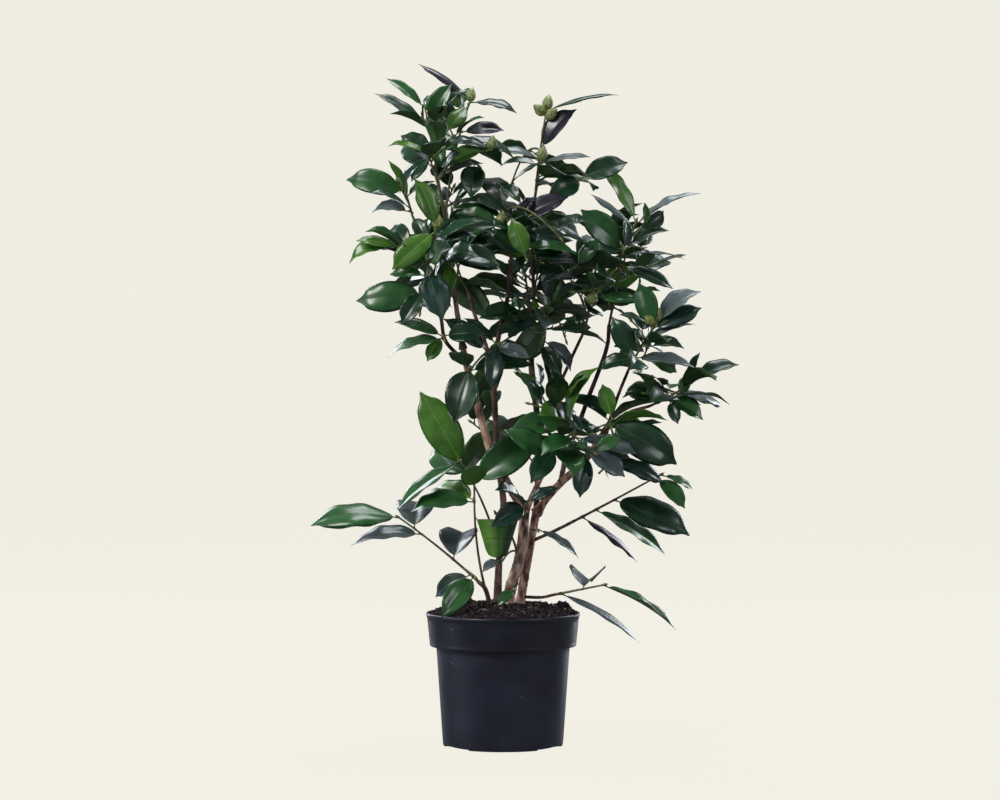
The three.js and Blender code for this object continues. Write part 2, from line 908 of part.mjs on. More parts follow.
// A leaf as a thin lens with six corners, arched along its length and folded
// up from its midrib.  It runs from the axis of its twig to its tip, or from a
// share of that length on, and margin makes it thicker and wider all round.
function leafGeometry({ base, along, up, length, width }, from = -LEAF_ROOT / length, margin = 0) {
  const across = new THREE.Vector3().crossVectors(up, along);
  const half = length * width / 2;
  const thick = length * LEAF_THICKNESS / 2 + margin;
  const fold = LEAF_FOLD * length;
  const corner = (share, wide, lift) => {
    const arch = LEAF_ARCH * Math.sin(Math.PI * share) - LEAF_TIP_DROP * share ** 3;
    return base.clone()
      .addScaledVector(along, share * length)
      .addScaledVector(across, wide)
      .addScaledVector(up, arch * length + lift);
  };
  const [near, middle, far] = [LEAF_NEAR, 0.5, LEAF_FAR].map((share) => from + (1 - from) * share);
  const nearHalf = LEAF_NEAR_WIDTH * half + margin;
  const farHalf = LEAF_FAR_WIDTH * half + margin;
  const corners = [
    corner(from, 0, 0),
    corner(near, nearHalf, fold),
    corner(far, farHalf, fold),
    corner(1 + margin / length, 0, 0),
    corner(far, -farHalf, fold),
    corner(near, -nearHalf, fold),
    corner(middle, 0, thick),
    corner(middle, 0, -thick),
  ];
  const [upper, lower] = [6, 7];
  const faces = [];
  for (let i = 0; i < 6; i += 1) {
    const next = (i + 1) % 6;
    faces.push(i, upper, next, next, lower, i);
  }
  const geometry = new THREE.BufferGeometry();
  const numbers = corners.flatMap((point) => point.toArray());
  geometry.setAttribute("position", new THREE.Float32BufferAttribute(numbers, 3));
  geometry.setIndex(faces);
  return geometry;
}

// A flower bud: a small pointed egg on the end of a shoot.
function budGeometry(base, along) {
  const profile = [[0, 0], [0.75, 0.22], [1, 0.5], [0.6, 0.8], [0, 1]]
    .map(([radius, height]) => new THREE.Vector2(radius * BUD_RADIUS, height * BUD_LENGTH));
  const turn = new THREE.Quaternion().setFromUnitVectors(new THREE.Vector3(0, 1, 0), along);
  return new THREE.LatheGeometry(profile, BUD_SIDES)
    .applyQuaternion(turn)
    .translate(...base.toArray());
}

// ---------------------------------------------------------------- the masses

// The centre line of a shoot: it leaves its carrier halfway between the
// carrier's own direction and the straight way to its tip.
function shootCurve(start, direction, tip) {
  const reach = tip.clone().sub(start);
  const bend = direction.clone().add(reach.clone().normalize()).normalize();
  const control = start.clone().addScaledVector(bend, reach.length() * SHOOT_BEND);
  return new THREE.QuadraticBezierCurve3(start, control, tip);
}

// The centre lines of a mass: the stem, and shoots spread along its middle.
function massCurves(mass, limbs) {
  const limb = limbs[mass.on].curve;
  const [first, ...others] = mass.shoots.map(({ tip }) => vector(tip));
  const stem = shootCurve(limb.getPoint(mass.at), limb.getTangent(mass.at), first);
  const gap = (LAST_BRANCH - FIRST_BRANCH) / Math.max(1, others.length - 1);
  const branches = others.map((tip, index) => {
    const share = FIRST_BRANCH + gap * index;
    return shootCurve(stem.getPoint(share), stem.getTangent(share), tip);
  });
  return [stem, ...branches];
}

function twigSteps(curve) {
  return Math.max(2, Math.round(curve.getLength() / TWIG_STEP));
}

// A point on a twig's centre line as it is built, in straight steps.
function pointOnTwig(curve, share) {
  const steps = twigSteps(curve);
  const step = Math.min(Math.floor(share * steps), steps - 1);
  const start = curve.getPoint(step / steps);
  return start.lerp(curve.getPoint((step + 1) / steps), share * steps - step);
}

function twigGeometry(curve) {
  const radius = (along) => TWIG_BASE_RADIUS + (TWIG_TIP_RADIUS - TWIG_BASE_RADIUS) * along;
  return tubeAlong(curve, radius, TWIG_SIDES, twigSteps(curve));
}

// A leaf on a curve, a distance below its tip, pointing along a unit vector
// with its upper side turned towards another.
function leafOn(curve, below, along, facing, length, width = LEAF_WIDTH) {
  const share = THREE.MathUtils.clamp(1 - (below + LEAF_ROOT) / curve.getLength(), 0.05, 1);
  const base = pointOnTwig(curve, share);
  const up = facing.clone().addScaledVector(along, -facing.dot(along)).normalize();
  return { base, along, up, length, width };
}

// The ways a posed leaf may lie: as given, or swung a little aside.
function posedChoices(curve, [below, bearing, rise, length, face, width]) {
  const facing = new THREE.Vector3(0, -Math.sin(radians(face)), Math.cos(radians(face)));
  return POSED_SWINGS.map((swing) => (
    leafOn(curve, below, heading(bearing + swing, rise), facing, length, width)
  ));
}

// The ways a leaf of the spiral may lie: each leaf turns on by the golden
// angle, lies lower than the one above it, and faces up and outward.
function spiralChoices(curve, plan, leafIndex, seed) {
  const random = randomFrom(seed);
  const spread = (width) => (random() - 0.5) * width;
  const step = Math.min(NODE_STEP, curve.getLength() * NODE_REACH / plan.leaves);
  const below = NODE_FIRST + (leafIndex - plan.posed.length * 0.5) * step;
  const share = 1 - below / curve.getLength();
  const bearing = plan.turn + leafIndex * GOLDEN_TURN + spread(BEARING_SPREAD);
  const rise = FIRST_RISE - RISE_LOSS * leafIndex + spread(RISE_SPREAD);
  const size = YOUNG_SIZE + SIZE_GAIN * Math.min(leafIndex, FULL_GROWN);
  const length = LEAF_LENGTH * size * (1 + spread(SIZE_SPREAD));
  const tilt = radians(LEAF_TILT + spread(TILT_SPREAD));
  const facing = curve.getPoint(share).setZ(0).normalize().multiplyScalar(Math.sin(tilt));
  facing.z = Math.cos(tilt);
  return SPIRAL_SWINGS.map((swing) => {
    const along = heading(bearing + swing, rise)
      .addScaledVector(curve.getTangent(share), FOLLOW_SHOOT)
      .normalize();
    return leafOn(curve, below, along, facing, length);
  });
}

// Whether a leaf, seen from the front, leaves the openings of the crown open.
function clearOfOpenings({ base, along, length }) {
  return OPENING_REACHES.every((reach) => {
    const point = base.clone().addScaledVector(along, length * reach);
    return OPENINGS.every(([x, z, halfWidth, halfHeight]) => (
      ((point.x - x) / halfWidth) ** 2 + ((point.z - z) / halfHeight) ** 2 >= 1
    ));
  });
}

// Adds to a mass the first of the choices of a leaf that crosses nothing: no
// limb, pot or soil, no twig, and no leaf that has its place already.
function settleLeaf(owner, choices, masses, rooms, settled) {
  for (const leaf of choices) {
    const free = place(solidFrom(leafGeometry(leaf, LEAF_FREE_FROM, LEAF_MARGIN)));
    const whole = place(solidFrom(leafGeometry(leaf, 0, LEAF_MARGIN)));
    const ofLeaf = (mass) => (mass === owner ? free : whole);
    const blocked = rooms.some((room) => meets(free, room))
      || settled.some((other) => meets(ofLeaf(other.owner), other.whole))
      || masses.some((mass) => mass.twigs.some((twig) => meets(ofLeaf(mass), twig)));
    if (!blocked) {
      settled.push({ owner, whole });
      owner.leaves.push(solidFrom(leafGeometry(leaf)));
      return;
    }
  }
}

// Joins a mass's twigs, leaves and buds, and cuts them clear of the limbs.
function fuseMass({ mass, curves, twigs, leaves }, rooms) {
  let solid = twigs.map((twig) => twig.solid).reduce((sum, twig) => sum.add(twig));
  for (const leaf of leaves) solid = solid.add(leaf);
  mass.shoots.forEach((plan, index) => {
    for (let bud = 0; bud < plan.buds; bud += 1) {
      const rise = bud === 0 ? BUD_TOP_RISE : BUD_SIDE_RISE;
      const along = heading(BUD_BEARING + bud * GOLDEN_TURN, rise);
      const base = pointOnTwig(curves[index], 1 - (bud + 0.5) * BUD_STEP);
      solid = solid.add(solidFrom(budGeometry(base, along)));
    }
  });
  const { box } = place(solid);
  for (const room of rooms) {
    if (room.box.intersectsBox(box)) solid = solid.subtract(room.solid);
  }
  return largestPart(solid);
}

// All masses together, so that no leaf of one runs into another.  The posed
// leaves take their places first, and the spirals fill in round them.
function makeMasses(limbs, pottery) {
  const rooms = [...Object.values(limbs).map((limb) => limb.room), ...pottery];
  const masses = Object.entries(MASSES).map(([name, mass]) => {
    const curves = massCurves(mass, limbs);
    const twigs = curves.map((curve) => place(solidFrom(twigGeometry(curve))));
    return { name, mass, curves, twigs, leaves: [] };
  });
  const settled = [];
  for (const owner of masses) {
    owner.mass.shoots.forEach((plan, index) => {
      for (const pose of plan.posed) {
        settleLeaf(owner, posedChoices(owner.curves[index], pose), masses, rooms, settled);
      }
    });
  }
  masses.forEach((owner, massIndex) => {
    owner.mass.shoots.forEach((plan, index) => {
      for (let leafIndex = plan.posed.length; leafIndex < plan.leaves; leafIndex += 1) {
        const seed = massIndex * 1009 + index * 101 + leafIndex * 7 + 5;
        const choices = spiralChoices(owner.curves[index], plan, leafIndex, seed)
          .filter(clearOfOpenings);
        settleLeaf(owner, choices, masses, rooms, settled);
      }
    });
  });
  return masses.map((owner) => ({ name: owner.name, solid: fuseMass(owner, rooms) }));
}

// -------------------------------------------------------------- the assembly

const camellia = new THREE.Group();

function addPiece(name, geometry, finish) {
  const mesh = new THREE.Mesh(geometry, new THREE.MeshStandardMaterial(finish));
  mesh.name = name;
  camellia.add(mesh);
}

const pot = potGeometry();
const soil = soilGeometry();
addPiece("pot", pot, POT_PLASTIC);
addPiece("soil", soil, SOIL_EARTH);

const limbs = makeLimbs();
for (const [name, limb] of Object.entries(limbs)) {
  addPiece(name, geometryFrom(limb.solid), BARK);
}

const filledPot = [pot, soil].map((geometry) => place(solidFrom(geometry)));
for (const mass of makeMasses(limbs, filledPot)) {
  addPiece(`leaves_${mass.name}`, geometryFrom(mass.solid), FOLIAGE);
}

export default camellia;
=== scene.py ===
"""The looks of a camellia shrub in a round black nursery pot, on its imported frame.

The limbs and the shoots are grown by the rule of the part's own source, from
the same tables, and are carried on to leaves with their veins and teeth, side
shoots, scaled buds, bark and loose soil.  Tables and shapes are in millimetres
in the row frame, and become metres when a mesh is made.
"""

import math

import bpy
import numpy as np
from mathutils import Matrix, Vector, noise
from mathutils.bvhtree import BVHTree


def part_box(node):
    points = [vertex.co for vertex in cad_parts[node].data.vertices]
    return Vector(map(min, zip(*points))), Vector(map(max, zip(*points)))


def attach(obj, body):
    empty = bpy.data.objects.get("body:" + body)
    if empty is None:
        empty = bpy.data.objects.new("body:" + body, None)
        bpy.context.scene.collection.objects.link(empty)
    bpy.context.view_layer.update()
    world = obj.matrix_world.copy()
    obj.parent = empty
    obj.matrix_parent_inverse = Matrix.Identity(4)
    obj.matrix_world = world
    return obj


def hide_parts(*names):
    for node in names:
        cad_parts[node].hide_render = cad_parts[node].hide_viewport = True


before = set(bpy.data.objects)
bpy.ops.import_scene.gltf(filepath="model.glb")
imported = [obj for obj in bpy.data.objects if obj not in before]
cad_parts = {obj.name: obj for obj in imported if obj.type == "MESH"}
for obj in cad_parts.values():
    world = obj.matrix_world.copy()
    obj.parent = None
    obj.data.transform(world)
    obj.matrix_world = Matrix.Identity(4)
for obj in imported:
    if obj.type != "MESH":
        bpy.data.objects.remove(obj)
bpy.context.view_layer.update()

MM = 0.001

# ---- the camera, in metres

CAMERA_PLACE = (-0.004, -5.0, 0.625)
CAMERA_AIM = (-0.004, 0.0, 0.472)
CAMERA_LENS = 132.03
CAMERA_SENSOR = 36.0

# ---- the pot

POT_HEIGHT = 182
POT_RIM_RADIUS = 105
POT_BAND_FOOT_RADIUS = 100
POT_BAND_HEIGHT = 45
POT_BODY_TOP_RADIUS = 91.5
POT_FOOT_RADIUS = 82
POT_WALL = 2
POT_FLOOR = 4
POT_SEGMENTS = 240
NOTCH_BEARINGS = [-34, 34, 146, 214]
NOTCH_WIDTH = 58
NOTCH_HEIGHT = 2.6
NOTCH_INNER_RADIUS = 72

# ---- the soil

SOIL_RIM_DROP = 4
SOIL_STEM_HEIGHT = 193.6
SOIL_LEVEL_CENTRE = (8, 4)
SOIL_LEVEL_RADIUS = 48
SOIL_LEVEL_FADE = 10
SOIL_BOTTOM = 150
# Lumps on the soil: (x, y, height, spread).
SOIL_LUMPS = [
    (-54, 36, 10, 15), (82, 20, 8, 13), (44, -66, 4, 18),
    (-24, -72, 3, 20), (12, 74, 5, 22), (-76, -26, 3, 14),
]
# Clods, crumbs and fine grain: (size, layer of the noise, height).
SOIL_RELIEF = [(13, 1.3, 2.2), (4.2, 7.7, 1.5), (1.9, 3.1, 0.6)]
SOIL_SINK = 0.4
SOIL_RINGS, SOIL_SIDES = 64, 180
CRUMBS = 1900
FIBRES = 46
CRUMB_SEED = 4711
CHIP_SHARE, DARK_SHARE, PALE_FROM = 0.28, 0.66, 0.94
CRUMB_STRETCH, CHIP_STRETCH = (1, 0.7, 0.6), (2.2, 0.9, 0.35)
FIBRE_STEPS, FIBRE_LIFT, FIBRE_ARCH = 8, 0.5, 1.2

# ---- the plant

FLARE_SHARE = 0.25
LEAF_LENGTH = 84
LEAF_WIDTH = 0.45
LEAF_ARCH = 0.07
LEAF_FOLD = 0.05
LEAF_TIP_DROP = 0.03
LEAF_THICKNESS = 0.024
NARROW_WIDTH = 0.32
BROAD_WIDTH = 0.58
CUP_WIDTH = 0.95
LEAF_NEAR, LEAF_NEAR_WIDTH = 0.32, 0.88
LEAF_FAR, LEAF_FAR_WIDTH = 0.68, 0.82
LEAF_MARGIN = 0.8
LEAF_FREE_FROM = 0.12
NODE_FIRST = 5
NODE_STEP = 16
NODE_REACH = 0.8
GOLDEN_TURN = 137.5
FIRST_RISE = 40
RISE_LOSS = 13
YOUNG_SIZE = 0.8
SIZE_GAIN = 0.06
FULL_GROWN = 4
LEAF_TILT = 35
FOLLOW_SHOOT = 0.35
BEARING_SPREAD = 30
RISE_SPREAD = 30
SIZE_SPREAD = 0.24
TILT_SPREAD = 60
SPIRAL_SWINGS = [0, 40, -40, 80, -80]
POSED_SWINGS = [0, 10, -10, 20, -20]
TWIG_BASE_RADIUS = 1.9
TWIG_TIP_RADIUS = 1.2
SHOOT_BEND = 0.45
FIRST_BRANCH = 0.2
LAST_BRANCH = 0.7
BUD_LENGTH = 22
BUD_RADIUS = 8
BUD_BEARING = 60
BUD_TOP_RISE = 70
BUD_SIDE_RISE = 35
BUD_STEP = 0.03


def limb(line, radii, flare=0, on=None, at=0):
    return {"line": line, "radii": radii, "flare": flare, "on": on, "at": at}


def shoot(tip, leaves, turn, posed=(), buds=0):
    return {"tip": tip, "leaves": leaves, "turn": turn, "posed": posed, "buds": buds}


def mass(on, at, group, side_shoots, shoots):
    return {"on": on, "at": at, "group": group, "side_shoots": side_shoots, "shoots": shoots}


# Limbs, from the soil upward: the points of the centre line, and the radius at
# the foot and at the tip.  A bough starts on the centre line of the limb it
# grows on, at a share of that limb's length.
LIMBS = {
    "trunk_main": limb(
        [(4, -8, 180), (11, -8, 218), (21, -7, 250), (27, -6, 284), (30, -6, 322)],
        (8, 6.6), flare=3.5,
    ),
    "trunk_right": limb(
        [(21, 16, 180), (27, 16, 214), (33, 15, 248), (39, 13, 282), (46, 10, 320)],
        (6.4, 5.4), flare=3,
    ),
    "trunk_left": limb(
        [(-8, 17, 180), (-5, 22, 252), (1, 26, 323), (-5, 27, 375), (-9, 26, 427), (-14, 20, 518)],
        (4.8, 4), flare=1.4,
    ),
    "sucker_left": limb([(-15, -5, 182), (-24, -8, 214), (-34, -10, 225)], (3.4, 2.8), flare=1.5),
    "bough_left": limb(
        [(11, -12, 351), (-5, -18, 381), (-19, -22, 409), (-45, -30, 503), (-54, -32, 542)],
        (6.2, 4.2), on="trunk_main", at=0.98,
    ),
    "bough_left_high": limb(
        [(-62, -36, 592), (-68, -38, 636), (-72, -36, 673)],
        (3.9, 2.6), on="bough_left", at=1,
    ),
    "bough_left_front": limb(
        [(-77, -60, 553), (-84, -80, 587), (-99, -95, 610)],
        (2.8, 2.1), on="bough_left", at=0.89,
    ),
    "bough_left_back": limb(
        [(-26, 50, 553), (-40, 84, 591), (-49, 110, 622)],
        (3.2, 2.2), on="trunk_left", at=0.99,
    ),
    "bough_inner": limb([(-5, 14, 562), (6, 8, 611), (11, 0, 652)], (3.6, 2.4), on="trunk_left", at=1),
    "bough_centre": limb(
        [(45, -20, 353), (62, -38, 391), (76, -52, 420)],
        (4.2, 3), on="trunk_main", at=0.97,
    ),
    "bough_right": limb(
        [(70, 0, 350), (109, -14, 388), (128, -20, 414), (144, -24, 440)],
        (5.4, 4.2), on="trunk_right", at=0.98,
    ),
    "bough_right_high": limb([(155, -30, 476), (169, -38, 512)], (2.6, 2), on="bough_right", at=0.99),
    "bough_right_out": limb([(170, -14, 455), (200, -6, 464)], (2.6, 2), on="bough_right", at=0.97),
    "bough_outer": limb(
        [(86, 20, 392), (100, 34, 427), (117, 44, 472), (142, 48, 539), (146, 44, 574)],
        (3.6, 2.6), on="bough_right", at=0.31,
    ),
    "bough_upright": limb(
        [(48, 30, 375), (50, 42, 427), (40, 52, 526), (43, 50, 581), (40, 42, 691)],
        (3.9, 2.3), on="trunk_right", at=0.97,
    ),
    "bough_slant": limb(
        [(62, 58, 463), (80, 72, 495), (99, 84, 536), (113, 92, 565)],
        (2.8, 2), on="bough_upright", at=0.4,
    ),
    "bough_back": limb(
        [(43, 76, 470), (38, 108, 516), (41, 130, 558)],
        (2.8, 2), on="bough_upright", at=0.38,
    ),
    "bough_low_right": limb([(70, 0, 293), (98, -12, 308)], (2.4, 2), on="trunk_right", at=0.72),
    "bough_foot_right": limb([(52, 4, 202), (72, -8, 207)], (2.2, 1.9), on="trunk_right", at=0.16),
}

# Masses of foliage: the limb each grows on, how far up it, the part of the crown
# it belongs to, how many finer side shoots it gets, and its shoots.  A shoot has
# its tip, how many leaves it bears, the bearing of the first, its posed leaves
# (distance below the tip, bearing, rise, length, face, tint, width) and its
# flower buds.  The first shoot is the stem, and the others branch from it.
MASSES = {
    "top_left": mass("bough_left_high", 1, "left", 10, [
        shoot((-105, -44, 867), 7, 20, [
            (0, 180, 40, 66, 40, "mid", NARROW_WIDTH), (14, 325, 50, 60, 80, "mid"),
            (26, 180, 35, 88, 30, "dark", NARROW_WIDTH),
            (32, 325, -25, 48, 75), (36, 275, -45, 52, 60),
        ]),
        shoot((-44, -14, 880), 7, 300, [
            (0, 178, 38, 86, 12, "purple", NARROW_WIDTH), (4, 350, -5, 66, 22, "blue"),
            (8, 225, -40, 52, 55), (44, 352, 6, 60, 40, "purple"),
        ], 1),
        shoot((-103, -92, 812), 5, 330, [(11, 180, 15, 56, 25, "young"), (15, 225, -45, 46, 60)]),
        shoot((-15, -50, 811), 5, 200, [
            (7, 190, -15, 56, 60, "young"), (0, 180, 15, 62, 30), (14, 10, 35, 58, 20),
        ], 1),
        shoot((-34, -30, 791), 5, 70, [
            (0, 195, 30, 56, 40, "grey"), (4, 262, -58, 56, 80, "dark", BROAD_WIDTH),
        ]),
    ]),
    "crown_top": mass("bough_upright", 1, "centre", 4, [
        shoot((60, 26, 871), 2, 100, [
            (4, 5, 15, 104, 6, None, NARROW_WIDTH), (54, 350, 52, 74, 40, "purple"),
        ], 3),
        shoot((52, 6, 799), 5, 250, [
            (0, 180, 15, 60, 18, "grey"), (4, 350, 10, 70, 25, "grey", NARROW_WIDTH),
            (8, 165, 5, 58, 20, "dark"),
        ], 1),
        shoot((109, 10, 772), 5, 60, [
            (0, 215, -20, 60, 80), (4, 0, 20, 70, 72, "dark"), (8, 340, -20, 48, 50),
        ]),
        shoot((13, 60, 771), 5, 160, [(0, 0, 35, 50, 10)]),
    ]),
    "inner_top": mass("bough_inner", 1, "centre", 11, [
        shoot((-7, -24, 763), 5, 120, [(0, 315, -25, 48, 50)]),
        shoot((-4, -60, 708), 5, 200, [(0, 185, -5, 74, 60), (8, 185, 20, 66, 60)], 1),
        shoot((31, -82, 665), 5, 0, [(0, 220, 65, 58, 80, "young"), (4, 180, 35, 62, 60)]),
        shoot((34, -30, 722), 5, 90, [
            (9, 350, 25, 70, 60, "purple"), (25, 335, 50, 50, 50, "purple"),
        ]),
        shoot((-39, -30, 668), 5, 30),
        shoot((77, -60, 692), 5, 330, [(11, 0, 15, 52, 35), (5, 0, -15, 50, 15)]),
    ]),
    "left_shoulder": mass("bough_left_front", 1, "left", 8, [
        shoot((-88, -112, 705), 5, 60, [
            (0, 205, 65, 72, 40, "young"), (4, 195, -40, 78, 75, "young"),
        ], 1),
        shoot((-130, -88, 753), 5, 100, [
            (0, 180, 15, 82, 68, "mid"), (22, 195, 25, 64, 26), (26, 170, 5, 56, 35, "grey"),
            (30, 295, -50, 46, 70), (12, 172, 66, 62, 15, "young", NARROW_WIDTH),
        ]),
        shoot((-143, -104, 681), 5, 100, [
            (1, 180, -15, 68, 35, "young"), (5, 190, 10, 60, 33, "young"), (9, 165, 30, 56, 12),
        ]),
        shoot((-105, -104, 617), 5, 100, [
            (0, 180, -5, 92, 80, "mid"), (3, 205, -52, 56, 62, "dark"), (18, 170, 5, 52, 45),
        ]),
        shoot((-68, -96, 659), 5, 300, [(0, 250, -60, 52, 80), (4, 350, -8, 68, 45, "dark")]),
    ]),
    "left_front": mass("bough_left_front", 0.4, "left", 3, [
        shoot((-79, -88, 556), 5, 240, [
            (2, 185, -15, 80, 23), (6, 175, 20, 70, 25), (10, 340, 5, 58, 70),
            (14, 220, -50, 44, 60, "young"),
        ]),
    ]),
    "left_low": mass("bough_left", 0.8, "left", 2, [
        shoot((-44, -68, 519), 4, 300, [(0, 225, -68, 80, 80, "dark", BROAD_WIDTH)]),
        shoot((-9, -70, 549), 5, 300, [(0, 255, -65, 64, 75), (4, 345, -15, 52, 60, "grey")]),
    ]),
    "left_back": mass("bough_left_back", 1, "back", 7, [
        shoot((-88, 118, 661), 5, 150),
        shoot((-71, 90, 733), 5, 30),
        shoot((-26, 140, 697), 5, 80),
        shoot((-115, 104, 591), 5, 170),
    ]),
    "centre_front": mass("bough_centre", 1, "centre", 8, [
        shoot((88, -64, 442), 5, 200, [(2, 0, 65, 90, 10), (6, 190, 0, 76, 50, "mid")]),
        shoot((65, -78, 399), 5, 240, [
            (0, 200, 30, 74, 75, "mid"), (4, 345, -20, 54, 60), (8, 212, -38, 66, 70, "dark"),
        ]),
        shoot((111, -92, 405), 5, 300, [(0, 240, -75, 62, 80), (6, 350, -32, 68, 55, "grey")]),
        shoot((36, -70, 469), 5, 200),
    ]),
    "right_knot": mass("bough_right", 0.8, "right", 5, [
        shoot((147, -62, 447), 5, 260, [
            (0, 180, 75, 50, 75, "young"), (10, 355, -30, 106, 75, "dark"), (6, 180, 25, 78, 18),
        ]),
        shoot((144, -60, 393), 5, 250, [(0, 0, -20, 80, 35, "blue"), (9, 350, 10, 54, 40)]),
        shoot((133, 24, 372), 5, 30),
    ]),
    "right_high": mass("bough_right_high", 1, "right", 4, [
        shoot((208, -44, 579), 5, 330, [
            (8, 205, 70, 64, 80, "mid"), (12, 0, 25, 74, 43, "blue"), (0, 20, 35, 74, 30, "grey"),
        ], 2),
        shoot((176, -66, 531), 5, 200, [
            (6, 200, 60, 62, 80), (12, 180, -15, 50, 50), (16, 355, -4, 82, 25, "grey"),
        ]),
        shoot((192, -10, 532), 5, 60, [(0, 355, -25, 50, 55), (12, 15, 0, 54, 40)]),
    ]),
    "right_out": mass("bough_right_out", 1, "right", 3, [
        shoot((256, 10, 494), 5, 60, [(0, 0, 25, 72, 28), (5, 15, 70, 50, 20, None, NARROW_WIDTH)]),
        shoot((229, -24, 475), 5, 330, [
            (14, 350, -25, 58, 43), (7, 300, -55, 40, 75, "dark"), (20, 180, 15, 52, 45),
        ]),
        shoot((216, 44, 468), 5, 100),
    ]),
    "outer_top": mass("bough_outer", 1, "right", 8, [
        shoot((182, 20, 715), 5, 0, [
            (0, 185, 60, 94, 32, "young", NARROW_WIDTH), (8, 180, 40, 76, 17, "grey", NARROW_WIDTH),
            (4, 0, 30, 100, 15, "grey", NARROW_WIDTH), (30, 0, 22, 58, 30),
        ]),
        shoot((162, -14, 679), 5, 300, [
            (0, 205, 40, 80, 80, "mid"), (30, 355, -22, 80, 30, "dark"), (6, 200, 5, 54, 45),
            (12, 10, 0, 92, 5, "grey", NARROW_WIDTH),
        ]),
        shoot((99, -30, 652), 5, 200, [(0, 335, 50, 50, 60)]),
        shoot((118, -34, 600), 5, 260, [(9, 0, 0, 64, 30)], 1),
        shoot((189, 64, 636), 5, 40),
    ]),
    "slant_top": mass("bough_slant", 1, "back", 7, [
        shoot((124, 104, 655), 5, 80),
        shoot((74, 116, 661), 5, 140),
        shoot((164, 124, 602), 5, 20),
        shoot((73, 70, 608), 5, 240),
        shoot((146, 90, 697), 5, 0),
    ]),
    "upright_mid": mass("bough_upright", 0.72, "centre", 6, [
        shoot((70, -4, 608), 5, 280, [(0, 340, 30, 46, 70), (6, 220, 70, 50, 45)]),
        shoot((23, -20, 592), 5, 250, [(10, 190, -5, 62, 60)]),
        shoot((50, -10, 543), 5, 300, [
            (5, 320, -50, 56, 80), (0, 345, -70, 66, 15), (9, 10, -45, 60, 40, "grey"),
        ]),
    ]),
    "back_high": mass("bough_back", 1, "back", 8, [
        shoot((24, 150, 678), 5, 90),
        shoot((68, 110, 717), 5, 60),
        shoot((-4, 174, 602), 5, 120),
        shoot((89, 168, 551), 5, 50),
        shoot((47, 180, 622), 5, 200),
    ]),
    "back_low": mass("trunk_left", 0.6, "back", 4, [
        shoot((-40, 110, 469), 5, 120),
        shoot((-4, 134, 426), 5, 80),
        shoot((52, 124, 370), 5, 60),
    ]),
    "left_ground": mass("sucker_left", 1, "low", 0, [
        shoot((-140, -60, 315), 4, 240, [
            (0, 180, 0, 120, 32, "mid"), (26, 90, 22, 92, 0, "grey", BROAD_WIDTH),
            (39, 185, -5, 98, 24, "grey"), (97, 80, 24, 90, 5, "grey", BROAD_WIDTH),
        ]),
        shoot((-39, -34, 234), 2, 200, [(0, 225, -40, 80, 70, "mid"), (3, 172, -30, 60, 50)]),
    ]),
    "left_upright": mass("sucker_left", 0.5, "low", 0, [
        shoot((-38, -40, 376), 4, 0, [(12, 5, 35, 100, 75, "mid"), (39, 185, -5, 88, 38, "mid")]),
    ]),
    "left_cross": mass("trunk_left", 0.2, "low", 0, [
        shoot((-58, -30, 389), 4, 180, [
            (6, 190, 60, 116, 80, "young"), (0, 180, -35, 108, 25, "mid", NARROW_WIDTH),
        ]),
    ]),
    "low_right": mass("bough_foot_right", 1, "low", 0, [
        shoot((136, -34, 222), 3, 0, [
            (0, 0, -30, 118, 8, "mid", NARROW_WIDTH), (28, 80, 6, 80, 0, "grey", BROAD_WIDTH),
            (63, 0, -29, 128, 8, "grey", NARROW_WIDTH),
        ]),
    ]),
    "mid_right": mass("bough_low_right", 1, "low", 0, [
        shoot((212, -50, 372), 5, 0, [
            (6, 345, -45, 58, 55, "mid"), (0, 0, -20, 50, 20), (70, 355, -22, 114, 50, "dark"),
            (100, 355, -31, 112, 25, "mid", NARROW_WIDTH), (124, 0, -36, 98, 12, "purple", NARROW_WIDTH),
        ]),
    ]),
    "foot_left": mass("trunk_main", 0.5, "low", 0, [
        shoot((-9, -46, 320), 1, 180, [(0, 262, -80, 60, 85, "young", CUP_WIDTH)]),
        shoot((1, -42, 258), 1, 180, [(0, 190, -30, 34, 50, "grey")]),
    ]),
    "foot_right": mass("trunk_right", 0.8, "low", 0, [
        shoot((48, -24, 295), 1, 0, [(10, 345, -30, 70, 18, "grey", NARROW_WIDTH)]),
    ]),
    "foot_front": mass("trunk_main", 0.14, "low", 0, [
        shoot((17, -40, 217), 1, 90, [(0, 225, -28, 38, 55, "mid")]),
    ]),
    "fork_leaves": mass("trunk_main", 0.9, "low", 0, [
        shoot((31, -52, 334), 3, 0, [(12, 222, -22, 66, 75, "blue"), (0, 350, 30, 50, 35)]),
    ]),
}

# The parts of the crown: the leaves of each make one piece, and likewise its twigs.
GROUPS = ["left", "centre", "right", "back", "low"]

# How the finer side shoots grow.
SIDE_TRIES = 5
SIDE_FROM, SIDE_TO = 0.3, 0.9
SIDE_LENGTH, SIDE_LENGTH_SPREAD = 26, 18
SIDE_LEAVES = 3
SIDE_LEAF_SIZE = 0.66
SIDE_MARGIN = 6

